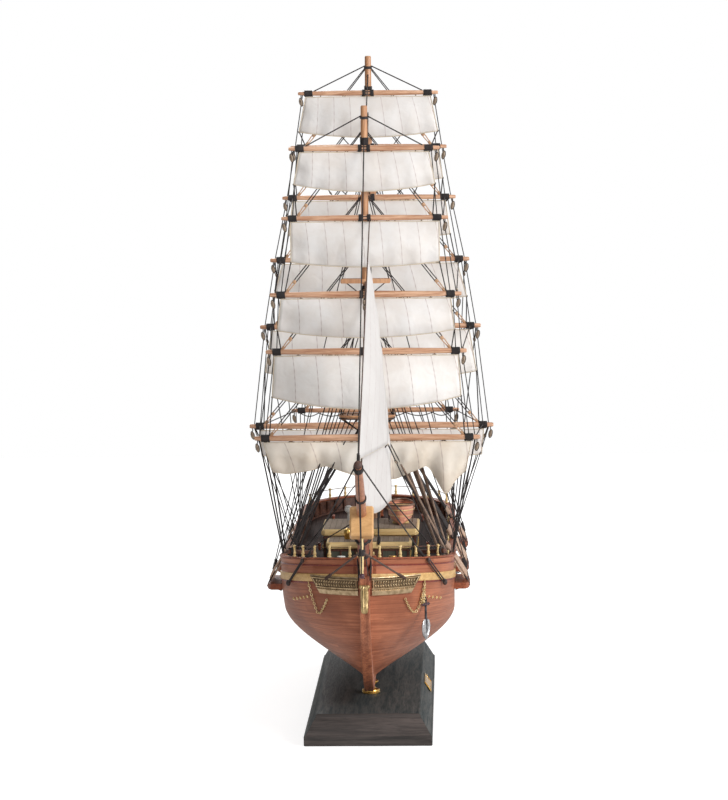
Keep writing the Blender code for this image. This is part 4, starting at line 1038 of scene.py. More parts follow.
# Channels, deadeyes and lanyards
# Thick mahogany boards stand out from the sides abreast of each mast. The shrouds' lower deadeyes
# are strapped to their edges, and undyed lanyards are rove through each pair.
MASTS = (
    # name, y, heights of the lower masthead, top, topmast head, crosstrees and pole head,
    # widths of the top and of the crosstrees
    ("fore", -0.15, 0.29, 0.2645, 0.392, 0.377, 0.521, 0.046, 0.041),
    ("main", 0, 0.3, 0.272, 0.412, 0.396, 0.566, 0.05, 0.043),
    ("mizzen", 0.15, 0.278, 0.256, 0.366, 0.354, 0.486, 0.04, 0.034),
)
DOUBLING, MAST_R = 0.0065, (0.0036, 0.0027, 0.003)
CHANNEL_OUT, CHANNEL_DOWN, CHANNEL_THICK = 0.084, 0.0262, 0.0048
# Mast: where its channel starts and ends, and the places of its shrouds and backstays.
CHANNELS = {
    "fore": (-0.166, -0.106, (-0.159, -0.15, -0.141, -0.132, -0.123), (-0.115, -0.11)),
    "main": (-0.014, 0.058, (-0.008, 0.001, 0.01, 0.019, 0.028, 0.037), (0.045, 0.052)),
    "mizzen": (0.138, 0.19, (0.144, 0.152, 0.16, 0.168), (0.177, 0.184)),
}
DEADEYE_LOW, DEADEYE_HIGH, DEADEYE_R = 0.0045, 0.0275, 0.0025
DEADEYE = ((0, 0.0009), (0.0012, 0.0009), (DEADEYE_R - 0.0002, 0.0006), (DEADEYE_R - 0.0003, 0),
           (DEADEYE_R - 0.0002, -0.0006), (0.0012, -0.0009), (0, -0.0009))
boards, eyes, lanyards, shrouds = Shape(), Shape(), Shape(), Shape()
ends = {}
for mast, mast_y, _, top, *_ in MASTS:
    fore_end, aft_end, places, _ = CHANNELS[mast]
    z = rail_z((fore_end + aft_end) / 2) - CHANNEL_DOWN
    for side in (-1, 1):
        rows = []
        for k in range(13):
            y = blend(fore_end, aft_end, k / 12)
            close = min(k, 12 - k) / 2
            out = CHANNEL_OUT - 0.003 * max(0, 1 - close) ** 2
            wide = breadth(level_of(z, y), y) - 0.0004
            rows.append([Vector((side * x, y, z + up)) for x, up in (
                (wide, 0), (out - 0.0007, 0), (out, 0.0008), (out, CHANNEL_THICK - 0.0008),
                (out - 0.0007, CHANNEL_THICK), (wide, CHANNEL_THICK))])
        boards.grid(rows)
        boards.fill(rows[0])
        boards.fill(rows[-1])
        hounds = Vector((0, mast_y, top - 0.0055))
        for k, y in enumerate(places):
            start = Vector((side * (CHANNEL_OUT - 0.0008), y, z + CHANNEL_THICK))
            high = hounds + Vector((side * 0.0032, 0.0008 * (k - 2), 0.0012 * (k % 2)))
            along = (high - start).normalized()
            low_eye, high_eye = start + along * DEADEYE_LOW, start + along * DEADEYE_HIGH
            out = square_to(Vector((side, 0, 0)), along)
            fore = along.cross(out)
            for centre in (low_eye, high_eye):
                eyes.turned(DEADEYE, facing(centre, fore, along, out), steps=14)
                eyes.paint = 1
                eyes.hoop(centre, out, DEADEYE_R, 0.00038, steps=14, sides=5)
                eyes.paint = 0
            eyes.paint = 1
            eyes.tube([low_eye - along * DEADEYE_R, start + Vector((side * 0.0012, 0, -0.0022)),
                       side_spot(y, CHANNEL_DOWN + 0.003, 0.0008, side)], 0.00045)
            eyes.paint = 0
            for shift in (-0.0017, -0.0006, 0.0006, 0.0017):
                for face in (-0.0011, 0.0011):
                    lanyards.tube([low_eye + fore * shift + out * face,
                                   high_eye + fore * (0.85 * shift) + out * face], 0.00062)
            lanyards.wrap(high_eye + along * 0.0027, high_eye + along * 0.0087, 0.0011, 0.0005, 6)
            shrouds.tube([high_eye + along * DEADEYE_R, high], STANDING_R)
            ends[mast, side, k] = (high_eye + along * 0.006, high)
piece("channel_boards", boards, [rail_wood], replaces=["hull"])
piece("deadeyes", eyes, [dark_mahogany, tarred])
piece("lanyards", lanyards, [tan_rope])

# Shrouds and ratlines
# Waxed black thread from the deadeyes to the mastheads, with rungs of finer thread knotted
# across, then the same again from the tops to the crosstrees and from there to the topgallants.
RUNG = 0.0068
SMALL_EYE = ((0, 0.0006), (0.0013, 0.0005), (0.0013, -0.0005), (0, -0.0006))
rungs = Shape()


def rattle(lines, first, last, spacing=RUNG):
    """Rungs across a fan of shrouds, each line given by its low and high end."""
    z = first
    while z < last:
        spots = []
        for low, high in lines:
            share = (z - low.z) / (high.z - low.z)
            if 0 <= share <= 1:
                spots.append(low.lerp(high, share))
        if len(spots) > 1:
            rungs.tube(spots, 0.00028, sides=5)
        z += spacing


for mast, mast_y, _, top, _, trees, pole, top_wide, trees_wide in MASTS:
    above = mast_y - DOUBLING
    for side in (-1, 1):
        fan = [ends[mast, side, k] for k in range(len(CHANNELS[mast][2]))]
        shrouds.tube([low + Vector((0, 0, 0.001)) for low, _ in fan], 0.0005)
        rattle(fan, fan[0][0].z + 0.006, top - 0.016)
        rim = [Vector((side * (top_wide / 2 - 0.0012), mast_y + shift, top + 0.0012))
               for shift in (-0.006, 0.001, 0.008)]
        fan = []
        for k, foot in enumerate(rim):
            head = Vector((side * 0.0026, above + 0.0006 * (k - 1), trees - 0.0045))
            along = (head - foot).normalized()
            for lift in (0.0022, 0.0022 + 0.0085):
                place = Matrix.Translation(foot + along * lift) @ QUARTER
                shrouds.turned(SMALL_EYE, place, steps=10)
            shrouds.tube([foot, head], 0.00048)
            fan.append((foot + along * 0.012, head))
            futtock_low = (side * 0.0034, mast_y, top - 0.015)
            shrouds.tube([foot - Vector((0, 0, 0.003)), futtock_low], 0.00045)
        rattle(fan, top + 0.016, trees - 0.02, 0.0062)
        for shift in (-0.005, 0.004):
            foot = Vector((side * (trees_wide / 2 - 0.0012), above + shift, trees + 0.001))
            head = Vector((side * 0.0018, above - DOUBLING, trees + (pole - trees) * 0.52))
            shrouds.tube([foot, head], 0.0004)
            shrouds.tube([foot, (side * 0.0028, above, trees - 0.0125)], 0.00038)
piece("shrouds", shrouds, [tarred])
piece("ratlines", rungs, [tarred])

# Masts
# Each mast is three sections of light brown round stock, doubled where they overlap: a planked
# top, crosstrees and two caps hold them, with turns of black line as woldings and hounds.
spar_upright = wood("spar_wood_upright", srgb(164, 112, 76), srgb(216, 164, 120), (340, 340, 26),
                    **spar_finish)
spar_across = wood("spar_wood_athwart", srgb(168, 112, 78), srgb(240, 196, 162), (24, 420, 420),
                   **spar_finish)
top_boards = planked("top_boards", srgb(140, 98, 70), srgb(196, 150, 112), srgb(60, 40, 30), 0.09,
                     seam=0.05, stretch=(26, 2, 1), roughness=0.5)


def rounded_plan(half_wide, fore, aft, corner, steps=5):
    """The outline of a board seen from above: square abaft, rounded at its fore corners."""
    plan = [(-half_wide, aft), (half_wide, aft)]
    for step in range(steps + 1):
        angle = pi / 2 * step / steps
        plan.append((half_wide - corner + corner * cos(angle), fore + corner * (1 - sin(angle))))
    return plan + [(-x, y) for x, y in reversed(plan[2:])]


def slab(shape, plan, low, high, inset=0.0006):
    """A board with this outline and small chamfered edges."""
    middle = Vector((sum(x for x, _ in plan) / len(plan), sum(y for _, y in plan) / len(plan), 0))
    rings = []
    for z, close in ((low, inset), (low + inset, 0), (high - inset, 0), (high, inset)):
        flat = [Vector((x, y, 0)) for x, y in plan]
        rings.append([spot - (spot - middle).normalized() * close + Vector((0, 0, z)) for spot in flat])
    shape.grid(rings, around=True)
    shape.fill(rings[0])
    shape.fill(rings[-1])


SECTION_NODES = ("lower_mast", "topmast", "topgallant_mast")
for mast, mast_y, low_head, top, mid_head, trees, pole, top_wide, trees_wide in MASTS:
    feet = (deck_z(mast_y) + GAP, top - 0.006, trees - 0.0025)
    for section, (part, foot, head) in enumerate(zip(SECTION_NODES, feet, (low_head, mid_head, pole))):
        y = mast_y - DOUBLING * section
        thick = MAST_R[section]
        spar = Shape()
        tip = 0.9 if section == 2 else 0.8
        stops = [(0, 1), (0.55, 1), (0.86, blend(1, tip, 0.55)), (0.995, tip), (1, tip * 0.8)]
        spar.tube([(0, y, blend(foot, head, at)) for at, _ in stops],
                  [thick * size for _, size in stops], sides=24)
        spar.paint = 1
        if section == 0:
            collar = ((0, 0.0022), (0.001, 0.002), (0.0014, 0.0008), (0.0015, 0))
            spar.turned([(thick + out, up) for out, up in collar], (0, y, foot), steps=24)
            for at in (0.28, 0.52):
                z = blend(foot, top, at)
                spar.wrap((0, y, z), (0, y, z + 0.0036), thick + 0.0003, 0.0004, 7)
            spar.wrap((0, y, top - 0.0078), (0, y, top - 0.0048), thick + 0.0006, 0.0006, 4)
            plan = rounded_plan(top_wide / 2, y - 0.016, y + 0.014, 0.0105)
            spar.paint = 2
            slab(spar, plan, top - 0.0011, top + 0.0006)
            spar.paint = 0
            rim = [Vector((*spot, top + 0.0008)) for spot in plan]
            spar.tube(rim, 0.00075, closed=True)
            spar.paint = 1
            spar.tube([spot - Vector((0, 0, 0.0022)) for spot in rim], 0.0005, closed=True)
            spar.paint = 0
            for side in (-1, 1):
                spar.block((0.003, 0.024, 0.0034), (side * 0.0046, y, top - 0.0037), edge=0.0005)
            for shift in (-0.0085, 0, 0.009):
                spar.block((top_wide * 0.92, 0.0022, 0.0016), (0, y + shift, top - 0.0018), edge=0.0004)
            slab(spar, rounded_plan(0.0042, y - 0.0105, y + 0.0045, 0.0034), low_head - 0.0025,
                 low_head + 0.0001)
            spar.paint = 1
            for z in (top + 0.006, low_head - 0.0055):
                spar.wrap((0, y, z), (0, y, z + 0.0022), thick * 0.94 + 0.0003, 0.0004, 4)
        elif section == 1:
            spar.paint = 0
            for shift in (0.005, -0.0105):
                slab(spar, rounded_plan(trees_wide / 2, y + shift - 0.0017, y + shift + 0.0017, 0.0012),
                     trees - 0.0018, trees + 0.0018)
            spar.paint = 2
            slab(spar, rounded_plan(trees_wide * 0.44, y - 0.0088, y + 0.0033, 0.004), trees - 0.0002,
                 trees + 0.001, inset=0.0003)
            spar.paint = 0
            for side in (-1, 1):
                spar.block((0.0028, 0.019, 0.003), (side * 0.005, y - 0.0028, trees), edge=0.0005)
            slab(spar, rounded_plan(0.0045, y - 0.0114, y + 0.0042, 0.004), mid_head - 0.0023,
                 mid_head - 0.0001)
            spar.paint = 1
            for z in (trees - 0.007, trees - 0.011):
                spar.wrap((0, y, z), (0, y, z + 0.003), thick + 0.0004, 0.0005, 4)
            spar.wrap((0, y, mid_head - 0.005), (0, y, mid_head - 0.0028), thick * 0.9 + 0.0003, 0.0004, 4)
        else:
            spar.paint = 1
            for away, long in ((0.009, 0.002), (0.026, 0.007), (0.062, 0.003)):
                z = pole - away
                spar.wrap((0, y, z), (0, y, z - long), thick * 0.94 + 0.0003, 0.0005, max(long / 0.0009, 3))
        piece(f"{mast}_{part}_spar", spar, [spar_upright, tarred, top_boards],
              replaces=[f"{mast}_{part}"])

# Yards
# Tapered round stock slung across the masts on small chocks. Black line is seized round the middle and near
# the bare ends, and two loops of it hold each yard to its mast.
YARDS = (
    # mast, mast section, name, height, length, thickness at the middle
    ("fore", 0, "course", 0.247, 0.187, 0.003),
    ("fore", 1, "lower_topsail", 0.319, 0.166, 0.0028),
    ("fore", 1, "upper_topsail", 0.366, 0.158, 0.0028),
    ("fore", 2, "topgallant", 0.429, 0.137, 0.0024),
    ("fore", 2, "royal", 0.486, 0.124, 0.0025),
    ("main", 0, "course", 0.245, 0.213, 0.0031),
    ("main", 1, "lower_topsail", 0.332, 0.192, 0.0029),
    ("main", 1, "upper_topsail", 0.39, 0.173, 0.0028),
    ("main", 2, "topgallant", 0.444, 0.15, 0.0025),
    ("main", 2, "royal", 0.4875, 0.135, 0.0025),
    ("main", 2, "skysail", 0.534, 0.121, 0.0024),
    ("mizzen", 0, "crossjack", 0.247, 0.154, 0.0025),
    ("mizzen", 1, "lower_topsail", 0.31, 0.13, 0.0023),
    ("mizzen", 1, "upper_topsail", 0.345, 0.118, 0.0022),
    ("mizzen", 2, "topgallant", 0.398, 0.098, 0.002),
    ("mizzen", 2, "royal", 0.442, 0.08, 0.0018),
)
MAST_Y = {row[0]: row[1] for row in MASTS}
WRAP_IN, WRAP_LONG = 0.0058, 0.0068
yard_axis, yard_half = {}, {}
for mast, section, name, z, length, thick in YARDS:
    mast_y, mast_r, half = MAST_Y[mast] - DOUBLING * section, MAST_R[section], length / 2
    y = mast_y - mast_r - thick - 0.0006
    yard_axis[mast, name] = Vector((0, y, z))
    yard_half[mast, name] = half
    yard = Shape()
    stops = ((-1, 0.46), (-0.988, 0.62), (-0.86, 0.76), (-0.3, 1), (0.3, 1), (0.86, 0.76), (0.988, 0.62),
             (1, 0.46))
    yard.tube([(half * at, y, z) for at, _ in stops], [thick * size for _, size in stops], sides=20)
    yard.block((0.004, mast_y - y - mast_r + 0.0012, 0.0034), (0, (mast_y - mast_r + y) / 2, z))
    yard.paint = 1
    for side in (-1, 1):
        outer, inner = side * (half - WRAP_IN), side * (half - WRAP_IN - WRAP_LONG)
        yard.wrap((outer, y, z), (inner, y, z), thick * 0.74 + 0.0005, 0.0006, 8)
        yard.wrap((side * 0.0022, y, z), (side * 0.005, y, z), thick + 0.0003, 0.0005, 4)
    for lift in (-0.0012, 0.0012):
        loop = [(side * x, at) for x, at in ((0.003, y - thick - 0.0002), (mast_r + 0.0004, mast_y - 0.001),
                                             (mast_r * 0.75, mast_y + mast_r * 0.8)) for side in (-1, 1)]
        yard.tube([(*loop[k], z + lift) for k in (0, 1, 3, 5, 4, 2)], 0.00055, closed=True)
    piece(f"{mast}_{name}_yard", yard, [spar_across, tarred],
          replaces=[f"{mast}_{SECTION_NODES[section]}"])

# Square sails
# Off-white cotton in one sheet, sewn with fine brown stitching as if in eight cloths, sized with starch so
# that it keeps its belly. The head hangs just under the yard.
weave_group, given, gives = new_group(
    "weave", [("Vector", "Vector", (0, 0, 0)), ("Threads", "Float", 2200)], [("Weave", "Float")])
parts = node(weave_group, "SeparateXYZ", {0: given["Vector"]}).outputs
waves = []
for k in (0, 2):
    scaled = sums(weave_group, "MULTIPLY", parts[k], given["Threads"])
    waves.append(sums(weave_group, "SINE", sums(weave_group, "MULTIPLY", scaled, 2 * pi)))
weave_group.links.new(sums(weave_group, "MULTIPLY", waves[0], waves[1]), gives["Weave"])


def canvas_like(name, worn=srgb(225, 218, 212), clean=srgb(234, 231, 229), cloud_size=34):
    """Cotton cloth: a fine weave, stitched seams across its flat place, and soft clouds of colour."""
    made, tree, shader = surface(name, 0.85, Sheen_Weight=0.15, Sheen_Roughness=0.6)
    place, flat = spot_of(tree), node(tree, "UVMap", uv_map="flat").outputs[0]
    weave = grouped(tree, weave_group, {"Vector": place, "Threads": 1500})[0]
    cloud = clouds(tree, place, cloud_size, 5, Roughness=0.6)
    parts = node(tree, "SeparateXYZ", {0: flat}).outputs
    colour = mixed(tree, between(tree, cloud, 0.36, 0.64), worn, clean)
    colour = mixed(tree, between(tree, weave, -1, 1, 0, 0.12), colour, srgb(196, 188, 178))
    seam = sums(tree, "PINGPONG", parts[0], 0.5)
    stitch = sums(tree, "SINE", sums(tree, "MULTIPLY", parts[1], 900))
    stitches = between(tree, stitch, -1, 1, 0.24, 0.5)
    line = sums(tree, "MULTIPLY", between(tree, seam, 0.01, 0.026, 1, 0), stitches)
    colour = mixed(tree, line, colour, srgb(150, 116, 114))
    crease = clouds(tree, place, 95, 1, Distortion=0.8)
    height = sums(tree, "MULTIPLY_ADD", weave, 0.06, sums(tree, "ADD", crease, cloud))
    dress(tree, shader, colour, None, height, 0.8, 0.0007)
    return made


canvas = canvas_like("canvas")
# A greyer copy of the canvas for the jibs: painted shade.
jib_canvas_painted_shade = canvas_like("jib_canvas_painted_shade", worn=srgb(204, 200, 198), clean=srgb(211, 208, 206))
# A tan copy of the canvas for the brailed fore course: painted shade for the shadows in its folds.
tan_canvas_painted_shade = canvas_like("tan_canvas_painted_shade", worn=srgb(224, 210, 192), clean=srgb(238, 231, 221), cloud_size=20)
# A lighter copy of the canvas for the lower topsails: painted light to offset the shade they lie in.
low_canvas_painted_light = canvas_like("low_canvas_painted_light", worn=srgb(234, 227, 221), clean=srgb(244, 241, 238))
SAIL_THICK = 0.0008
SAILS = (
    # mast, name, height, half widths of head and foot, how far the foot sags, how far it bellies
    ("fore", "course", 0.024, 0.086, 0.086, 0.004, 0.008),
    ("fore", "lower_topsail", 0.044, 0.076, 0.078, 0.01, 0.012),
    ("fore", "upper_topsail", 0.032, 0.07, 0.073, 0.006, 0.01),
    ("fore", "topgallant", 0.037, 0.061, 0.061, 0.004, 0.009),
    ("fore", "royal", 0.032, 0.053, 0.058, 0.006, 0.008),
    ("main", "course", 0.026, 0.098, 0.096, 0.004, 0.008),
    ("main", "lower_topsail", 0.044, 0.086, 0.092, 0.008, 0.012),
    ("main", "upper_topsail", 0.035, 0.076, 0.084, 0.006, 0.01),
    ("main", "topgallant", 0.033, 0.066, 0.07, 0.004, 0.009),
    ("main", "royal", 0.029, 0.06, 0.064, 0.005, 0.008),
    ("main", "skysail", 0.035, 0.054, 0.06, 0.005, 0.008),
    ("mizzen", "lower_topsail", 0.042, 0.058, 0.066, 0.006, 0.01),
    ("mizzen", "upper_topsail", 0.028, 0.052, 0.056, 0.005, 0.009),
    ("mizzen", "topgallant", 0.03, 0.043, 0.048, 0.004, 0.008),
    ("mizzen", "royal", 0.026, 0.034, 0.039, 0.004, 0.006),
)
# The fore course is drawn up in its brails: how far its foot hangs below the yard across the ship.
BRAILED = {("fore", "course"): (
    (-0.086, 0.024), (-0.073, 0.0262), (-0.046, 0.0225), (-0.037, 0.019), (-0.006, 0.029),
    (0.0226, 0.031), (0.0506, 0.019), (0.067, 0.046), (0.074, 0.033), (0.086, 0.024),
)}
# How far its foot is hauled in at its starboard and its port edge.
SLANT_IN = (0.008, 0.0045)
ACROSS, DOWN = 48, 20
sail_corners = {}


def along_table(table, place):
    """The value at a place in a table of (place, value) rows, with softened corners."""
    found = 0
    for shift in (-0.0024, 0, 0.0024):
        near = min(max(place + shift, table[0][0]), table[-1][0])
        for (low, before), (high, after) in zip(table, table[1:]):
            if near <= high:
                found += blend(before, after, (near - low) / (high - low)) / 3
                break
    return found


def arc_length(points):
    return sum((b - a).length for a, b in zip(points, points[1:]))


def border_of(rows):
    return rows[0] + [row[-1] for row in rows[1:]] + rows[-1][-2::-1] + [row[0] for row in rows[-2:0:-1]]


def area_of(rows):
    return sum(((b - a).cross(c - a).length + (d - b).cross(d - c).length) / 2
               for r0, r1 in zip(rows, rows[1:]) for a, b, c, d in zip(r0, r0[1:], r1, r1[1:]))


def sew(name, rows, flat, finish, node_name, cloths=8, bend=0, body="ship"):
    """A sewn sheet between rows of points, thickened a little; its seams may bend at the head."""
    made, last_i, last_j = Shape(), len(rows[0]) - 1, len(rows) - 1
    made.grid(rows, flat=lambda i, j: (cloths * i / last_i + bend * (1 - j / last_j) ** 2,
                                       j / last_j * flat[1]))
    sail = piece(f"{name}_sailcloth", made, [finish], body=body, replaces=[node_name],
                 sharp=80)
    layer = sail.modifiers.new("thickness", "SOLIDIFY")
    layer.thickness = SAIL_THICK
    layer.offset = 0


def rope_edge(name, border, node_name, thick=0.00045, body="ship", thimble=None):
    """The thin rope sewn to a sail's edge, with a ring at its clew where the sail has one."""
    edge = Shape()
    edge.tube(border, thick, sides=5, closed=True)
    if thimble:
        edge.hoop(thimble, (1, 0.3, 0), 0.001, 0.0004, steps=10)
    piece(f"{name}_boltrope", edge, [cream_rope], body=body, replaces=[node_name])


for mast, name, drop, half_head, half_foot, sag, belly in SAILS:
    yard = yard_axis[mast, name]
    thick = next(row[5] for row in YARDS if (row[0], row[2]) == (mast, name))
    head_z = yard.z - thick - GAP - SAIL_THICK / 2
    seed = Vector((len(name) * 3.7, len(mast) * 1.3, belly * 900))
    hangs = BRAILED.get((mast, name))
    columns = ACROSS * 2 if hangs else ACROSS
    rows = []
    for v in (j / DOWN for j in range(DOWN + 1)):
        row = []
        for i in range(columns + 1):
            side = 2 * i / columns - 1
            x = side * blend(half_head, half_foot, v)
            out = belly * sin(pi * 0.86 * v) * (1 - side * side)
            z = head_z - (drop * v + sag * v * (1 - side * side) - sag * v)
            soft = noise.noise(seed + Vector((side * 2.6, v * 1.4, 0))) * 0.0022
            fold = sin(pi * v) * soft + 0.0007 * v * sin(side * 21 + seed.x) * (0.4 + abs(side))
            corner = abs(side) ** 6 * 0.0012 * sin(v * 11 + seed.y)
            if hangs:
                z = head_z - along_table(hangs, x) * v
                pleat = sin(x * 210) + 0.6 * sin(x * 390 + 1 + 2 * v)
                out = belly * 0.5 * sin(pi * v) + 0.0013 * pleat * sin(pi * 0.75 * v)
                x += v * (SLANT_IN[0] * side * side if side < 0 else -SLANT_IN[1] * side ** 4)
            row.append(Vector((x, yard.y - out - fold * 0.8 - corner * v, z)))
        rows.append(row)
    sail_corners[mast, name] = (rows[-1][0], rows[-1][-1])
    flat = (arc_length(rows[DOWN // 2]), round(arc_length([row[columns // 2] for row in rows]), 4))
    # The brailed course takes the tan copy, painted shade, and the lower topsails the lighter copy, painted
    # light.
    finish = tan_canvas_painted_shade if hangs else low_canvas_painted_light if name == "lower_topsail" else canvas
    sew(f"{mast}_{name}", rows, flat, finish, f"{mast}_{name}_sail", bend=0.2)
    border = [spot - Vector((0, 0.0004, 0)) for spot in border_of(rows)]
    rope_edge(f"{mast}_{name}", border, f"{mast}_{name}_sail", 0.00042)

# Jibs and their stays
# Two triangular head sails of the same cotton, its colour greyed as painted shade, laced to taut black stays
# that run from the fore topmast down to the jibboom, and bellied a little to port.
STAY_R = 0.0005
# The share of its flat place that a three-cornered sail fills.
JIB_FILLS = 0.52
JIBS = (
    # name, stay's upper end, its place along the jibboom and the boom's radius there, where the
    # sail's head and tack are along the stay, its clew, and how far its leech bows and its foot dips
    ("outer_jib", (0.004, -0.1722, 0.4275), 0.178, 0.0028, 0.17, 0.985, (0.0193, -0.27, 0.2515), 0.0034, 0),
    ("inner_jib", (0, -0.1697, 0.3765), 0.11, 0.0038, 0.15, 0.985, (0.0212, -0.26, 0.206), 0.0074, 0.013),
)
jib_lines = []
for name, stay_top, along, boom_r, head_share, tack_share, clew, bow_out, dip in JIBS:
    top, clew = Vector(stay_top), Vector(clew)
    foot = sprit_point(along, JIB_LIFT + boom_r + STAY_R + GAP + 0.0001)
    way = (foot - top).normalized()
    stay = Shape()
    stay.tube([(0, MAST_Y["fore"] - DOUBLING, top.z + 0.0004)] + [top.lerp(foot, k / 12) for k in range(13)],
              STAY_R, sides=8)
    stay.wrap(foot - way * 0.009, foot - way * 0.001, 0.0008, 0.0004, 8)
    head, tack = top.lerp(foot, head_share), top.lerp(foot, tack_share)
    jib_lines.append((foot, clew))
    rows = []
    for v in (j / 40 for j in range(41)):
        luff, leech = head.lerp(tack, v), head.lerp(clew, v)
        row = []
        for u in (i / 16 for i in range(17)):
            hollow = 0.05 * sin(pi * v) * u
            spot = luff.lerp(leech, u * (1 - hollow))
            spot.x += 0.004 * sin(pi * v) * sin(pi * u) + 0.0004 * sin(30 * v + 5 * u) * u
            spot.x += bow_out * u * sin(pi * v)
            spot.z -= dip * sin(pi * u ** 0.7) * v ** 8
            row.append(spot)
        rows.append(row)
    piece(f"{name}_stay", stay, [brown_rope], replaces=[name])
    tall, area = (tack - head).length, area_of(rows)
    flat = (area / JIB_FILLS / tall, tall)
    sew(name, rows, flat, jib_canvas_painted_shade, name, cloths=5)
    border = [row[0] for row in rows] + rows[-1][1:] + [row[-1] for row in rows[-2:0:-1]]
    rope_edge(name, border, name, thimble=clew)

# Spanker, its boom and gaff
# A fore-and-aft sail abaft the mizzen on two round spars with leathered jaws, which swing round
# the mast together.
JAW_Y, BOOM_Z, BOOM_END, BOOM_R = 0.1542, 0.184, 0.3, 0.0018
GAFF_FOOT, GAFF_END, GAFF_R = 0.232, (0.258, 0.28), 0.0015
boom = Shape()
boom.tube([(0, y, BOOM_Z) for y in (JAW_Y, JAW_Y + 0.004, 0.2, 0.25, BOOM_END - 0.001, BOOM_END)],
          [BOOM_R * size for size in (0.8, 1, 1, 0.95, 0.75, 0.4)], sides=18)
gaff = Shape()
gaff_low, gaff_high = Vector((0, JAW_Y, GAFF_FOOT)), Vector((0, *GAFF_END))
gaff.tube([gaff_low.lerp(gaff_high, at) for at in (0, 0.04, 0.5, 0.99, 1)],
          [GAFF_R * size for size in (0.8, 1, 1, 0.75, 0.4)], sides=18)
for name, shape, start, end, thick in (
    ("spanker_boom", boom, Vector((0, JAW_Y, BOOM_Z)), Vector((0, BOOM_END, BOOM_Z)), BOOM_R),
    ("spanker_gaff", gaff, gaff_low, gaff_high, GAFF_R),
):
    shape.paint = 1
    along = (end - start).normalized()
    shape.wrap(start + along * 0.001, start + along * 0.0055, thick + 0.0003, 0.0005, 6)
    shape.wrap(end - along * 0.011, end - along * 0.005, thick * 0.85 + 0.0002, 0.0005, 7)
    piece(f"{name}_spar", shape, [spar_along, tarred], body="spanker_body", replaces=[name])
rows = []
tack, clew = (Vector((0, y, BOOM_Z + BOOM_R + 0.0008)) for y in (JAW_Y + 0.0012, BOOM_END - 0.012))
throat = Vector((0, JAW_Y + 0.0012, GAFF_FOOT - GAFF_R - 0.001))
peak = Vector((0, GAFF_END[0] - 0.006, GAFF_END[1] - GAFF_R - 0.0036))
for v in (j / 24 for j in range(25)):
    fore, aft = throat.lerp(tack, v), peak.lerp(clew, v)
    row = []
    for u in (i / 36 for i in range(37)):
        spot = fore.lerp(aft, u)
        spot.x += 0.005 * sin(pi * v) * sin(pi * u) + 0.0003 * sin(26 * u) * v * u
        row.append(spot)
    rows.append(row)
flat = (arc_length(rows[-1]), arc_length([row[-1] for row in rows]))
sew("spanker", rows, flat, canvas, "spanker_sail", cloths=9,
    body="spanker_body")
rope_edge("spanker", border_of(rows), "spanker_sail", body="spanker_body")

# Deck houses
# Boxwood roofs with thick rounded yellow edges over panelled mahogany and grey-green walls with round brass
# ports. The edges take a lighter copy of the boxwood, painted light on faces that turn away from the lamps.
# The roofs are planked and weathered grey.
roof_boards = planked("roof_boards", srgb(120, 104, 92), srgb(166, 150, 132), srgb(72, 62, 54), 0.06,
                      seam=0.06, stretch=(26, 2.2, 1), roughness=0.7, Specular_IOR_Level=0.15)
# A lighter copy of the boxwood: painted light for the forward-facing roof edges, which the lamps leave in
# shade.
roof_edge_painted_light = wood("roof_edge_painted_light", srgb(216, 180, 118), srgb(247, 218, 160), (24, 320, 320), roughness=0.45)
panel_green = wood("panel_grey_green", srgb(60, 62, 52), srgb(92, 92, 76), (300, 300, 30), roughness=0.45)
dark_glass, tree, shader = surface("port_glass", 0.12, Coat_Weight=0.5, Coat_Roughness=0.05)
dress(tree, shader, mixed(tree, clouds(tree, spot_of(tree), 90), srgb(18, 20, 24), srgb(44, 48, 54)))
ROOF_THICK, ROOF_RIM, EAVE = 0.0064, 0.0021, 0.0015
HOUSES = (
    # name, half width of the roof, its fore and aft ends, its top
    ("fore_house", 0.0358, -0.139, -0.0955, 0.158),
    ("main_house", 0.0414, -0.095, -0.012, 0.164),
)
# The roof's edge: how high over its lower side, and how far in from the eaves.
ROOF_SECTION = ((-ROOF_THICK, 0.0022), (-ROOF_THICK + 0.0008, 0.0006), (-ROOF_THICK + 0.002, 0),
                (-0.0014, 0), (-0.0003, 0.0007), (-0.0003, 0.002))


def roof_planks(shape, left, right, fore, aft, count, plank, height):
    """A planked roof between its edges, each plank laid fore and aft."""
    shape.paint = 1
    across = [blend(left, right, k / count) for k in range(count + 1)]
    shape.grid([[Vector((x, y, height(x))) for x in across] for y in (fore, aft)])
    shape.flats[-4 * count:] = [(shape.points[k].y, shape.points[k].x / plank + 20.5)
                                for face in shape.faces[-count:] for k in face]


def port_hole(shape, side, x, y, z, lip):
    """A round brass port with dark glass in a wall that faces outboard."""
    port = Matrix.Translation((side * x, y, z)) @ Matrix.Rotation(side * pi / 2, 4, "Y")
    shape.paint = 4
    shape.turned([(0.003, -0.0002), (0.003, 0.0005), (0.0026, 0.0008)] + [(0.0022, z) for z in lip], port)
    shape.paint = 5
    shape.turned([(0.0022, lip[-1]), (0, lip[-1])], port)


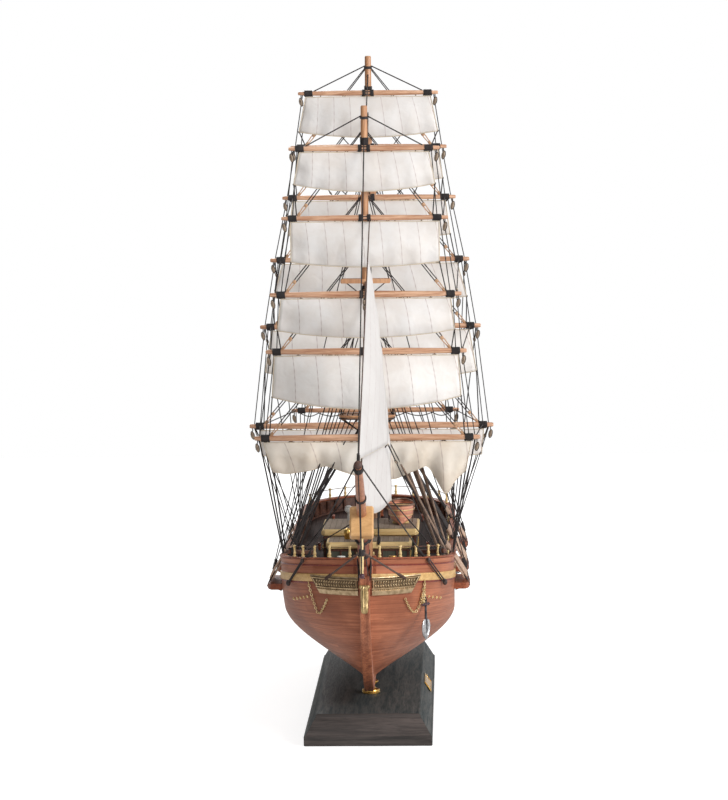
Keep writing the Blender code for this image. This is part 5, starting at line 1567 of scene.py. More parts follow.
for name, half, fore, aft, top in HOUSES:
    low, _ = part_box(name)
    house = Shape()
    middle_y, long = (fore + aft) / 2, aft - fore
    plan = [(-half + 0.003, aft - 0.0002), (half - 0.003, aft - 0.0002), (half, aft - 0.003),
            (half, fore + 0.003), (half - 0.003, fore), (-half + 0.003, fore), (-half, fore + 0.003),
            (-half, aft - 0.003)]
    rings = [[Vector((x * (1 - close / half), middle_y + (y - middle_y) * (1 - close / (long / 2)),
                      top + rise)) for x, y in plan] for rise, close in ROOF_SECTION]
    house.grid(rings, around=True)
    house.fill(rings[0])
    roof_planks(house, -half + ROOF_RIM, half - ROOF_RIM, fore + ROOF_RIM, aft - ROOF_RIM, 10, 0.0046,
                lambda x: top + 0.0001 - 0.0004 * abs(x / half))
    wall = half - EAVE
    foot = min(deck_z(fore, wall), deck_z(aft, wall), deck_z(middle_y, wall)) + GAP
    wall_top = top - ROOF_THICK
    house.paint = 2
    house.block((2 * wall, long - 2 * EAVE, wall_top - low.z - 0.0004),
                (0, middle_y, (wall_top + low.z) / 2 + 0.0002), edge=0.0003)
    house.paint = 3
    house.block((2 * wall + 0.0006, long - 2 * EAVE + 0.0006, 0.0016), (0, middle_y, wall_top - 0.0008),
                edge=0.0003)
    face = fore + EAVE
    for wide, x in ((0.015, 0), (0.0016, -0.011), (0.0016, 0.011), (0.0016, 0.0235), (0.0016, -0.0235),
                    (0.002, half - 0.003), (0.002, 0.003 - half)):
        deck_here = deck_z(face, x) + GAP
        house.block((wide, 0.001, wall_top - deck_here), (x, face - 0.0004, (wall_top + deck_here) / 2),
                    edge=0.0002)
    house.paint = 4
    for x in (-0.0018, 0.0018):
        house.ball((x, face - 0.0014, (wall_top + foot) / 2), (0.0006, 0.0006, 0.0006), steps=8)
    count = max(int(long / 0.016), 2)
    for side in (-1, 1):
        for k in range(count):
            y = blend(fore + 0.008, aft - 0.008, k / (count - 1))
            port_hole(house, side, wall, y, blend(deck_z(y, wall), wall_top, 0.55), (0.0005, 0.0002))
    piece(f"{name}_joinery", house, [roof_edge_painted_light, roof_boards, panel_green, dark_mahogany, brass, dark_glass],
          replaces=[name])

# Boat
# One ship's boat upright on chocks on the port side of the main house's roof, planked like the
# hull, with pale strips and thwarts and a brown gunwale, held down by brown lashings.
boat_boards = planked("boat_boards", srgb(184, 112, 88), srgb(238, 170, 138), srgb(92, 50, 38), 0.05,
                      seam=0.07, stretch=(30, 2.4, 1), roughness=0.42, Coat_Weight=0.1, Coat_Roughness=0.2)
boat_rail = wood("boat_rail", srgb(92, 66, 52), srgb(140, 108, 86), (300, 24, 300), roughness=0.45)
BOAT_KEEL, BOAT_DEEP, BOAT_HALF, BOAT_RISE = 0.1644, 0.016, 0.0118, 0.001
BOAT_STRAKES = 8
# A boat's section: shares of its depth from the keel up, and of its half-breadth there.
BOAT_SECTION = ((0, 0.2), (0.1, 0.52), (0.28, 0.78), (0.6, 0.95), (1, 1))
_, _, (boat_x, middle_y, _), (_, boat_long, _) = box_of("boat_port")
half_long = boat_long / 2
roof_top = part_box("main_house")[1].z


def boat_full(strake):
    """How wide the boat is at a share of its depth, as a smooth line through its section."""
    for (low_at, narrow), (high_at, wide) in zip(BOAT_SECTION, BOAT_SECTION[1:]):
        if strake <= high_at:
            return blend(narrow, wide, sin((strake - low_at) / (high_at - low_at) * pi / 2) ** 0.9)
    return 1


def skin(strake, along, grow=0):
    """A place on the boat's side: strake from keel 0 to gunwale 1, along from -1 to 1."""
    plump = sin(pi * blend(0.04, 0.96, (along + 1) / 2)) ** 0.6
    close = max(0, (abs(along) - 0.9) / 0.1)
    wide = (BOAT_HALF * boat_full(strake) + grow) * plump * sqrt(max(0, 1 - close * close))
    z = BOAT_KEEL + BOAT_DEEP * strake + BOAT_RISE * along * along * strake
    return wide, middle_y + along * half_long, z


def strake_line(flip, strake, grow=0, reach=1, lift=0):
    """A line along the boat at one strake, on one side of it."""
    line = [skin(strake, -cos(pi * k / 24) * reach, grow) for k in range(25)]
    return [Vector((boat_x + flip * max(x, 0), y, z + lift)) for x, y, z in line]


def at_middle(line, lift=0):
    return [Vector((boat_x, spot.y, spot.z + lift)) for spot in line]


boat = Shape()
for flip in (-1, 1):
    rows = [strake_line(flip, half_strake / (BOAT_STRAKES * 2), -0.00025 if half_strake % 2 else 0.00015)
            for half_strake in range(BOAT_STRAKES * 2 + 1)]
    boat.paint = 0
    boat.grid([at_middle(rows[0])] + rows, flat=lambda i, j: (i * 0.0023, j / 2))
    inner = [strake_line(flip, strake, -0.001, 0.985, lift) for strake, lift in
             ((1, 0), (0.75, 0.0004), (0.5, 0.0004), (0.3125, 0.0004))]
    boat.grid(inner + [at_middle(inner[-1], -0.0004)], flat=lambda i, j: (i * 0.0023, j * 2))
    for paint, strake, thick, lift in ((3, 1, 0.00085, -0.0004), (1, 0.72, 0.00055, 0), (1, 0.44, 0.0004, 0)):
        boat.paint = paint
        boat.tube(strake_line(flip, strake, lift=lift), thick)
boat.paint = 1
for along in (-0.55, -0.15, 0.25, 0.62):
    x, y, z = skin(0.78, along, -0.0012)
    boat.block((2 * x, 0.0034, 0.001), (boat_x, y, z), edge=0.0003)
boat.paint = 0
boat.tube([(boat_x, middle_y + at * half_long * 0.9, BOAT_KEEL - 0.0001) for at in (-1, 1)], 0.0006)
boat.paint = 1
for y in (middle_y - 0.014, middle_y + 0.014):
    boat.block((0.014, 0.003, 0.002), (boat_x, y, roof_top + 0.0012))
boat.paint = 2
for y in (middle_y - 0.01, middle_y + 0.01):
    x, _, z = skin(1, (y - middle_y) / half_long)
    for flip in (-1, 1):
        boat.tube([(boat_x, y, z + 0.0004), (boat_x + flip * (x + 0.0004), y, z + 0.0004),
                   (boat_x + flip * (x - 0.0002), y, BOAT_KEEL + 0.006),
                   (boat_x + flip * 0.01, y, roof_top + 0.0008)], 0.00035)
piece("boat_port_hull", boat, [boat_boards, pale_box, brown_rope, boat_rail],
      replaces=["boat_port"])

# Hatch, cabin, windlass and binnacle
# A hatch with a grating of crossed boxwood bars, the after cabin with its ports, a windlass on two
# timbers with a brass pawl rim, and a brass binnacle.
low, high, middle, (wide, long, tall) = box_of("main_hatch")
hatch = Shape()
hatch.block((wide, long, tall - 0.0014), (*middle[:2], middle[2] - 0.0007), edge=0.0005)
hatch.paint = 1
for k in range(10):
    x = blend(low.x + 0.002, high.x - 0.002, k / 9)
    hatch.block((0.0013, long - 0.003, 0.0012), (x, middle[1], high.z - 0.0008), edge=0.0002)
for k in range(8):
    y = blend(low.y + 0.002, high.y - 0.002, k / 7)
    hatch.block((wide - 0.003, 0.0013, 0.0012), (middle[0], y, high.z - 0.0006), edge=0.0002)
piece("main_hatch_grating", hatch, [dark_mahogany, boxwood_along], replaces=["main_hatch"])

low, high, _, (wide, long, tall) = box_of("cabin")
_, middle_y, middle_z = (low + high) / 2
cabin = Shape()
cabin.paint = 2
cabin.block((wide - 0.003, long - 0.003, tall - 0.0022), (0, middle_y, middle_z - 0.0009), edge=0.0003)
cabin.paint = 0
cabin.block((wide, long, 0.0026), (0, middle_y, high.z - 0.0015), edge=0.001)
roof_planks(cabin, low.x + 0.001, high.x - 0.001, low.y + 0.001, high.y - 0.001, 12, 0.0042, lambda x: high.z)
for side in (-1, 1):
    for k in range(3):
        y = blend(low.y + 0.008, high.y - 0.008, k / 2)
        port_hole(cabin, side, high.x - 0.0015, y, middle_z - 0.0006, (0.0004,))
piece("cabin_joinery", cabin, [boxwood_along, roof_boards, panel_green, dark_mahogany, brass, dark_glass],
      replaces=["cabin"])

low, _, middle, (_, _, tall) = box_of("windlass")
windlass = Shape()
WINDLASS_Y = -0.218
turn = Matrix.Translation((0, WINDLASS_Y, low.z + 0.0052)) @ QUARTER
# Half of the barrel's outline: its radius and how far from the middle.
BARREL_HALF = ((0.0026, 0.003), (0.0022, 0.006), (0.0026, 0.01), (0.0024, 0.012), (0.0026, 0.0165),
               (0.002, 0.017), (0, 0.017))
windlass.turned([(r, -x) for r, x in reversed(BARREL_HALF)] + list(BARREL_HALF), turn)
windlass.paint = 1
windlass.turned([(0, -0.0016), (0.0027, -0.0016), (0.0027, 0.0016), (0, 0.0016)], turn, flutes=12, depth=0.1)
windlass.paint = 0
for side in (-1, 1):
    windlass.block((0.003, 0.0046, tall), (side * 0.0125, WINDLASS_Y, middle[2]), edge=0.0006)
piece("windlass_timbers", windlass, [red_spar, brass], replaces=["windlass"])

low, _, middle, (_, _, tall) = box_of("binnacle")
binnacle = Shape()
binnacle.turned([(0, tall), (0.0012, tall * 0.99), (0.0026, tall * 0.92), (0.0031, tall * 0.8),
                 (0.0032, tall * 0.66), (0.0026, tall * 0.6), (0.0024, tall * 0.3), (0.0028, tall * 0.16),
                 (0.0034, tall * 0.1), (0.0034, 0), (0, 0)], (*middle[:2], low.z), steps=24)
piece("binnacle_brass", binnacle, [brass], replaces=["binnacle"])

# Steering wheel
# A turned mahogany wheel of eight spokes with handles and a brass hub, pinned to a squared post
# with a cap and a foot moulding.
WHEEL, RIM_R = Vector((0, 0.228, 0.1605)), 0.0066
wheel = Shape()
wheel.hoop(WHEEL, (0, 1, 0), RIM_R, 0.0008, steps=40, sides=10)
for angle in angles(8):
    out = Vector((cos(angle), 0, sin(angle)))
    wheel.tube([WHEEL + out * at for at in (0.0014, 0.003, 0.0044, 0.0058, 0.0074, 0.0084, 0.0096, 0.01)],
               [0.0005, 0.00065, 0.00045, 0.00055, 0.00045, 0.0007, 0.0006, 0.00025], sides=8)
wheel.paint = 1
hub = Matrix.Translation(WHEEL) @ Matrix.Rotation(pi / 2, 4, "X")
low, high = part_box("steering_wheel")
front, back = WHEEL.y - low.y, high.y - WHEEL.y
wheel.turned([(0, front), (0.001, front * 0.95), (0.0018, front * 0.6), (0.0019, 0), (0.0018, -back * 0.8),
              (0.0009, -back), (0, -back)], hub, steps=20)
piece("steering_wheel_turned", wheel, [rail_wood, brass], body="wheel_body",
      replaces=["steering_wheel"])
low, high, middle, (wide, long, tall) = box_of("wheel_stand")
stand = Shape()
stand.block((wide, long, tall - 0.001), (*middle[:2], middle[2] - 0.0005), edge=0.0006)
for thick, z in ((0.0014, high.z - 0.0007), (0.0018, low.z + 0.001)):
    stand.block((wide + 0.0006, long + 0.0006, thick), (*middle[:2], z))
piece("wheel_stand_post", stand, [rail_wood], replaces=["wheel_stand"])

# Rudder
# A flat mahogany blade with eased edges on a round stock, with a brass strap and band at each of
# its three hinges.
low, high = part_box("rudder")
rudder = Shape()
RUDDER_Y, BLADE_THICK = 0.2442, 0.003
blade_high, blade_middle = 0.093, (RUDDER_Y + 0.008, 0.066)
plan = [(RUDDER_Y - 0.0006, low.z), (high.y - 0.001, low.z), (high.y, low.z + 0.0016),
        (high.y - 0.0016, low.z + 0.022), (RUDDER_Y + 0.008, blade_high), (RUDDER_Y - 0.0006, blade_high)]
rings = []
for x, close in ((-BLADE_THICK / 2, 0.0006), (-BLADE_THICK / 2 + 0.0006, 0), (BLADE_THICK / 2 - 0.0006, 0),
                 (BLADE_THICK / 2, 0.0006)):
    ring = []
    for y, z in plan:
        spot = Vector((0, y - blade_middle[0], z - blade_middle[1]))
        spot -= spot.normalized() * close
        ring.append(Vector((x, spot.y + blade_middle[0], spot.z + blade_middle[1])))
    rings.append(ring)
rudder.grid(rings, around=True)
rudder.fill(rings[0])
rudder.fill(rings[-1])
rudder.tube([(0, RUDDER_Y, low.z + 0.001), (0, RUDDER_Y, high.z)], 0.0016, sides=16)
rudder.paint = 1
for z in (0.048, 0.066, 0.084):
    for side in (-1, 1):
        strap = (side * (BLADE_THICK / 2 + 0.0001), RUDDER_Y + 0.0048, z)
        rudder.block((0.0004, 0.009, 0.0016), strap, edge=0.0001)
    rudder.hoop((0, RUDDER_Y, z), (0, 0, 1), 0.0016, 0.0004)
piece("rudder_blade", rudder, [dark_mahogany, brass], body="rudder_body",
      replaces=["rudder"])

# Anchor
# A grey cast anchor with a wooden stock and a bright crown, hung flat against the port bow by its
# cable.
pewter = brass_like("pewter", srgb(92, 92, 96), srgb(52, 50, 52), 0.42, scale=1300)
silver = brass_like("silver_crown", srgb(206, 206, 208), srgb(150, 150, 152), 0.28, scale=1300)
ANCHOR_LOW, ANCHOR_X, ANCHOR_SHANK, STOCK_Z = 0.0905, 0.048, 0.032, 0.0275
ANCHOR_LEVEL, ANCHOR_CLEAR = 0.68, 0.0014
anchor_y = bow_y(ANCHOR_LEVEL, ANCHOR_X, ANCHOR_CLEAR)
slope_in = (breadth(ANCHOR_LEVEL, anchor_y + 0.002, ANCHOR_CLEAR)
            - breadth(ANCHOR_LEVEL, anchor_y - 0.002, ANCHOR_CLEAR))
anchor_place = (Matrix.Translation((ANCHOR_X, anchor_y, ANCHOR_LOW))
                @ Matrix.Rotation(-atan2(slope_in, 0.004), 4, "Z"))
anchor = Shape()


def anchor_line(spots, thick, sides=12):
    """A round arm of the anchor through spots of its own frame."""
    anchor.tube([anchor_place @ Vector(spot) for spot in spots], thick, sides=sides)


anchor_line([(0, 0, z) for z in (0, 0.012, 0.024, ANCHOR_SHANK)], [0.0012, 0.001, 0.0009, 0.0009])
anchor.hoop(anchor_place @ Vector((0, 0, ANCHOR_SHANK + 0.0012)), (1, 0, 0), 0.0016, 0.0004)
ARM = ((0.0034, 0.0148), (0.0036, 0.014), (0.0045, 0.0105), (0.0042, 0.007), (0.0026, 0.0028), (0, -0.0002))
ARM_THICK = [0.0003, 0.0009, 0.0012, 0.0012, 0.0013]
anchor.paint = 1
anchor_line([(0, -y, z) for y, z in ARM] + [(0, y, z) for y, z in ARM[-2::-1]],
            ARM_THICK + [0.0013] + ARM_THICK[::-1])
for end in (-1, 1):
    fluke = anchor_place @ Matrix.Translation((0, end * 0.0032, 0.011)) @ Matrix.Rotation(0.12 * end, 4, "X")
    anchor.ball(fluke, (0.0007, 0.0017, 0.0042), steps=12)
anchor.ball(anchor_place @ Matrix.Translation((0, 0, 0.0022)), (0.0012, 0.0022, 0.0034), steps=14)
anchor.ball(anchor_place @ Matrix.Translation((0, 0, 0.0078)), (0.001, 0.004, 0.0082), steps=18)
anchor.paint = 0
anchor_line([(0.0007, 0, z) for z in (0.003, 0.006, 0.011, 0.016)], [0.0003, 0.0006, 0.0008, 0.0009], sides=8)
anchor.paint = 2
anchor_line([(0, y, STOCK_Z) for y in (-0.0055, -0.0032, 0, 0.0032, 0.0055)],
            [0.0006, 0.0009, 0.001, 0.0009, 0.0006], sides=10)
anchor.paint = 0
for y in (-0.0034, 0.0034):
    anchor.hoop(anchor_place @ Vector((0, y, STOCK_Z)), (0, 1, 0), 0.001, 0.0003, steps=12)
piece("anchor_cast", anchor, [pewter, silver, plum], replaces=["anchor"])

# Blocks
# Small oval boxwood blocks, each with a black strop round it, hung where the running rigging
# turns.
pale_block = wood("block_wood", srgb(122, 104, 88), srgb(184, 164, 142), (300, 300, 300), roughness=0.5)
BLOCK_LONG, BLOCK_WIDE = 0.0021, 0.0013


def pulley(shape, spot, along=(0, 0, -1), size=1):
    """One block: its shell in paint 0 and its strop in paint 1, hanging along the given way."""
    along = Vector(along).normalized()
    side = along.orthogonal().normalized()
    place = facing(spot, side, along.cross(side), along)
    shape.paint = 0
    shape.ball(place, (BLOCK_WIDE * 0.75 * size, BLOCK_WIDE * size, BLOCK_LONG * size), steps=8)
    shape.paint = 1
    shape.tube([place @ Vector((0, BLOCK_WIDE * 1.02 * size * sin(a), BLOCK_LONG * 1.04 * size * cos(a)))
                for a in angles(10)], 0.00032, sides=5, closed=True)
    shape.paint = 0


# Standing stays
# Heavy black stays hold the masts forward, in pairs between each lower masthead and the deck
# ahead, and thinner single ones run from mast to mast higher up.
stays = Shape()


def on_mast(mast, section, aft, z):
    """A spot this far abaft the axis of one section of a mast."""
    return Vector((0, MAST_Y[mast] - DOUBLING * section + aft, z))


MIDDLING_R = 0.0005
fore_y, mizzen_y = MAST_Y["fore"], MAST_Y["mizzen"]
# Each stay's two ends, how far its pair is set apart at the foot, and its thickness.
for start, end, spread, radius in (
    (on_mast("fore", 0, -0.004, 0.259), sprit_point(0.02, SPRIT_R + 0.0006), 0.0026, STANDING_R),
    (on_mast("fore", 1, -0.003, 0.372), sprit_point(0.07, SPRIT_R + 0.0006), 0, MIDDLING_R),
    (on_mast("fore", 2, -0.003, 0.4945), sprit_point(0.1835, JIB_LIFT + 0.0024), 0, RUNNING_R),
    (on_mast("main", 0, -0.004, 0.2665), Vector((0, -0.1405, 0.156)), 0.0085, STANDING_R),
    (on_mast("main", 1, -0.003, 0.391), on_mast("fore", 0, 0.005, 0.268), 0.003, MIDDLING_R),
    (on_mast("main", 2, -0.002, 0.476), on_mast("fore", 1, 0.0042, 0.381), 0, RUNNING_R),
    (on_mast("main", 2, -0.002, 0.527), on_mast("fore", 1, 0.0018, 0.3925), 0, RUNNING_R),
    (on_mast("main", 2, -0.002, 0.55), on_mast("fore", 2, 0.002, 0.48), 0, RUNNING_R),
    (on_mast("mizzen", 0, -0.004, 0.25), on_mast("main", 0, 0.012, 0.142), 0.006, STANDING_R),
    (on_mast("mizzen", 1, -0.003, 0.349), on_mast("main", 0, 0.0042, 0.275), 0, MIDDLING_R),
    (on_mast("mizzen", 2, -0.002, 0.435), on_mast("main", 1, 0.0044, 0.4), 0, RUNNING_R),
):
    way = (end - start).normalized()
    for side in ((-1, 1) if spread else (0,)):
        shift = Vector((side * spread, 0, 0))
        stays.tube([start + shift * 0.35, end + shift], radius)
        stays.wrap(end + shift - way * 0.0085, end + shift - way * 0.001, radius + 0.0003, 0.00035, 7)
# Backstays come down to the channels abaft the shrouds, seized over their lower ends.
for mast, *_, trees, pole, _, _ in MASTS:
    fore_end, aft_end, _, places = CHANNELS[mast]
    z = rail_z((fore_end + aft_end) / 2) - CHANNEL_DOWN + CHANNEL_THICK
    heads = (on_mast(mast, 1, 0, trees - 0.006), on_mast(mast, 2, 0, blend(trees, pole, 0.55)))
    for side in (-1, 1):
        for y, head in zip(places, heads):
            foot = Vector((side * (CHANNEL_OUT - 0.001), y, z))
            head = head + Vector((side * 0.0024, 0, 0))
            way = (head - foot).normalized()
            stays.tube([foot, head], 0.00046)
            stays.wrap(foot + way * 0.006, foot + way * 0.015, 0.0008, 0.0004, 8)
# Below the bowsprit: two bobstays and the martingale stay, and from its end the guys to the rail.
stays.tube([sprit_point(0.183, JIB_LIFT - 0.0026), striker_foot, (0, -0.2862, 0.146)], 0.00045)
stays.tube([sprit_point(0.12, JIB_LIFT - 0.004), striker_foot + Vector((0, 0, 0.006))], 0.0004)
for side in (-1, 1):
    stays.tube([sprit_point(0.07, -0.0046) + Vector((side * 0.0008, 0, 0)), (side * 0.0032, -0.285, 0.148)],
               MIDDLING_R)
    guy = Vector((side * 0.048, bow_spot(0.048, rail_z(-0.215), -0.0015).y, rail_z(-0.215) + 0.0024))
    stays.tube([sprit_point(0.178, JIB_LIFT) + Vector((side * 0.003, 0, 0)), guy], RUNNING_R)
    stays.wrap(guy, guy.lerp(sprit_point(0.178, JIB_LIFT), 0.09), 0.0008, 0.0004, 8)
piece("stays_and_backstays", stays, [tarred])
bow_ropes = Shape()
for side in (-1, 1):
    foot = mirrored(bow_spot(0.032, 0.1425, 0.0012), side)
    start = striker_band + Vector((side * 0.0014, 0, 0))
    bow_ropes.tube([start, foot], 0.0008, sides=8)
    bow_ropes.wrap(foot.lerp(start, 0.02), foot.lerp(start, 0.16), 0.001, 0.0004, 7)
piece("bowsprit_shrouds", bow_ropes, [brown_rope])

# Lifts, footropes, clew lines and sheets
# Each yard is held up by a lift on either side, rove through a long boxwood block near the arm.
# Footropes hang under it in stirrups, and the sail's corners are hauled out by sheets.
HEADS = {mast: (mid_head, pole) for mast, _, _, _, mid_head, _, pole, _, _ in MASTS}
# The yards of each mast from the lowest up.
UPWARD = {mast: [row[2] for row in YARDS if row[0] == mast] for mast in MAST_Y}
STROP_LONG, ARM_BLOCK = 0.011, 1.7
lifts, blocks = Shape(), Shape()
for mast, _, name, z, _, thick in YARDS:
    axis, half = yard_axis[mast, name], yard_half[mast, name]
    mid_head, pole = HEADS[mast]
    single = name == "skysail" or (name == "royal" and mast != "main")
    head_z = pole - 0.0085 if single else min(z + half * 1.02, pole - 0.011)
    for side in (-1, 1):
        arm = Vector((side * (half - WRAP_IN - WRAP_LONG - 0.001), axis.y + 0.0004, z + thick * 0.6 + 0.0004))
        mast_back = MAST_Y[mast] - DOUBLING * (1 if head_z < mid_head and not single else 2)
        head = Vector((side * 0.0026, mast_back + 0.0006, head_z))
        way = (head - arm).normalized()
        if single:
            lifts.tube([arm, head], RUNNING_R)
        else:
            spot = arm + way * STROP_LONG
            apart = Vector((way.z, 0, -way.x)) * 0.0011
            lifts.paint = 1
            for flip in (-1, 1):
                lifts.tube([arm, arm.lerp(spot, 0.25) + apart * flip * 0.6,
                            arm.lerp(spot, 0.8) + apart * flip, spot + apart * flip * 0.8], 0.00048)
            lifts.wrap(arm, arm + way * 0.003, 0.001, 0.00045, 4)
            lifts.ball(spot, (0.0017, 0.0014, 0.0017))
            lifts.paint = 0
            for flip in (-1, 1):
                lifts.tube([spot + apart * flip, head + apart * flip * 0.4], FINE_R)
        # A footrope in three swags under the yard, each end of a swag held by a stirrup.
        slung = [0.006, half * 0.36, half * 0.68, half - WRAP_IN - 0.002]
        low_y = axis.y + thick + 0.0014
        under = z - thick * 0.5
        for near, far in zip(slung, slung[1:]):
            lifts.tube([(side * blend(near, far, share), low_y + 0.0006,
                         under - 0.0016 - 0.003 * sin(pi * share))
                        for share in (step / 6 for step in range(7))], FINE_R, sides=5)
        for near in slung[1:3]:
            lifts.tube([(side * near, low_y - 0.0008, z + thick * 0.4),
                        (side * near, low_y + 0.0006, under - 0.0017)], FINE_R, sides=5)
        # Blocks hang under the arm outside the sail.
        block_long = BLOCK_LONG * ARM_BLOCK
        hang = Vector((side * (half - WRAP_IN * 0.45), axis.y - 0.0004,
                       z - thick * 0.7 - block_long - 0.0022))
        pulley(blocks, hang, (side * -0.25, 0, -1), size=ARM_BLOCK)
        lifts.tube([hang + Vector((0, 0, block_long)), (hang.x, axis.y, under)], 0.0005)
for (mast, name), corners in sail_corners.items():
    rank, own = UPWARD[mast].index(name), yard_axis[mast, name]
    for side, corner in zip((-1, 1), corners):
        if rank:
            lower = mast, UPWARD[mast][rank - 1]
            below, reach = yard_axis[lower], yard_half[lower] - WRAP_IN - WRAP_LONG
            target = (side * min(reach, abs(corner.x) + 0.012), below.y - 0.0005, below.z + 0.0022)
            lifts.tube([corner + Vector((0, 0, 0.0004)), target], RUNNING_R)
            lifts.ball(corner, (0.0009, 0.0009, 0.0011), steps=6)
        lifts.tube([corner + Vector((0, 0.0016, 0)),
                    (side * abs(corner.x) * 0.42, own.y + 0.003, own.z - 0.003)], FINE_R)
piece("lifts_and_sheets", lifts, [tarred, yard_thread])

# Braces and the lines down both sides
# Black thread runs from yardarm to yardarm down each side of a mast, and the braces lead aft
# through blocks to the next mast or to the rail.
braces = Shape()
yard_z = {(row[0], row[2]): row[3] for row in YARDS}


def on_rail(side, y):
    """Where a line is belayed on the rail's pins."""
    return Vector((side * (breadth(1, y) - 0.001), y, rail_z(y) + 0.002))


for mast in MAST_Y:
    for side in (-1, 1):
        arms = [Vector((side * (yard_half[mast, name] - WRAP_IN * 0.7), yard_axis[mast, name].y + 0.001,
                        yard_z[mast, name])) for name in UPWARD[mast]]
        for low, high in zip(arms, arms[1:]):
            braces.tube([low, high], FINE_R)
            braces.tube([low + Vector((-side * 0.005, 0.001, 0)), high + Vector((-side * 0.003, 0.001, 0))],
                        FINE_R)
        fore_end, aft_end = CHANNELS[mast][:2]
        for k, y in enumerate((fore_end + 0.004, fore_end + 0.018, aft_end - 0.012)):
            braces.tube([arms[0] + Vector((-side * 0.004 * k, 0, -0.0016)), on_rail(side, y)],
                        RUNNING_R * 1.25 if mast == "fore" else FINE_R)
        for k, arm in enumerate(arms):
            if mast == "main" and k < 3:
                target = on_rail(side, 0.1 + 0.026 * k)
            elif mast == "main":
                target = Vector((side * 0.0035, mizzen_y - 2 * DOUBLING, 0.29 + 0.045 * (k - 1)))
            else:
                other = "main", UPWARD["main"][k]
                reach = yard_half[other] - WRAP_IN - WRAP_LONG * 0.5
                target = Vector((side * reach, yard_axis[other].y + 0.0022, yard_axis[other].z))
            way = (target - arm).normalized()
            spot = arm + way * 0.016
            pulley(blocks, spot, way)
            braces.tube([arm, spot], RUNNING_R)
            braces.tube([spot, target], FINE_R)
halyard_top, halyard_at = Vector(JIBS[-1][1]), JIBS[-1][4]
for stay_foot, clew in jib_lines:
    for side, x, y in ((1, 0.058, -0.176), (-1, 0.055, -0.18)):
        foot = Vector((side * x, y, rail_z(y) + 0.002))
        middle = clew.lerp(foot, 0.16)
        braces.tube([clew, middle], RUNNING_R)
        pulley(blocks, middle, (foot - clew).normalized())
        braces.tube([middle, foot], FINE_R)
    head = halyard_top.lerp(stay_foot, halyard_at)
    pulley(blocks, head + Vector((0, 0.0014, 0.0042)), (0, 0.2, 1), size=1.2)
    braces.tube([head + Vector((0, 0, 0.006)), (0.0012, fore_y - DOUBLING, halyard_top.z - 0.004),
                 (0.003, fore_y + 0.002, 0.16)], FINE_R)
piece("braces_and_leads", braces, [tarred])
piece("rigging_blocks", blocks, [pale_block, tarred])

# Spanker lines
# Two brown topping lifts hold the boom's end under the gaff's, and the sail's head is tied to the
# gaff by turns of the same line. All of it swings with the boom.
topping = Shape()
end = Vector((0, BOOM_END - 0.008, BOOM_Z))
for x in (-0.0012, 0.0012):
    topping.tube([end + Vector((x, 0, BOOM_R)), (x, GAFF_END[0] - 0.004, GAFF_END[1] - 0.001)], FINE_R)
for k in range(1, 14):
    topping.hoop(gaff_low.lerp(gaff_high, k / 14), gaff_high - gaff_low, GAFF_R + 0.0004, 0.00028,
                 steps=10, sides=4)
piece("spanker_lines", topping, [brown_rope], body="spanker_body")

# Belaying pins and coils
# Turned boxwood pins stand in a rail inside the bulwark abreast of each mast, with the falls
# coiled over them in brown line.
pins, coils = Shape(), Shape()
PIN = ((0, 0.0046), (0.0005, 0.0044), (0.0008, 0.0036), (0.0008, 0.0026), (0.0005, 0.0016), (0.0009, 0.0012),
       (0.0009, 0.0008), (0.0005, 0.0004), (0.0005, -0.0028), (0, -0.003))
for fore_end, aft_end, _, _ in CHANNELS.values():
    for side in (-1, 1):
        rack = []
        for k in range(13):
            y = blend(fore_end, aft_end, k / 12)
            x = breadth(1, y, -BULWARK_THICK) - 0.0022
            spot = Vector((side * x, y, rail_z(y) - 0.0012))
            rack.append(spot)
            if k % 2 == 0:
                pins.turned(PIN, spot + Vector((0, 0, 0.0008)), steps=10)
                for turn in range(3):
                    x, high = -side * (0.0009 + 0.0004 * turn), 0.004 + 0.0003 * turn
                    coils.tube([spot + Vector((x, 0.0016 * sin(a), -0.0024 + high * cos(a) - 0.001))
                                for a in angles(9)], 0.00032, sides=5, closed=True)
        pins.paint = 1
        for low_spot, high_spot in zip(rack, rack[1:]):
            middle = (low_spot + high_spot) / 2
            way = (high_spot - low_spot).normalized()
            turn = Matrix.Rotation(atan2(way.y, way.x), 4, "Z")
            pins.block(((high_spot - low_spot).length + 0.0004, 0.004, 0.0014),
                       Matrix.Translation(middle) @ turn, edge=0.0003)
        pins.paint = 0
# Two racks stand on the deck, before the fore mast and before the mizzen.
for y, wide in ((-0.162, 0.02), (0.136, 0.022)):
    z = deck_z(y) + GAP
    pins.paint = 1
    for side in (-1, 1):
        pins.block((0.0022, 0.0022, 0.0085), (side * wide / 2, y, z + 0.0042))
    pins.block((wide + 0.006, 0.0026, 0.0016), (0, y, z + 0.008))
    pins.paint = 0
    for k in range(5):
        pins.turned(PIN, (blend(-wide / 2 + 0.001, wide / 2 - 0.001, k / 4), y, z + 0.0088), steps=10)
piece("belaying_pins", pins, [pale_box, dark_mahogany])
piece("rope_coils", coils, [brown_rope])
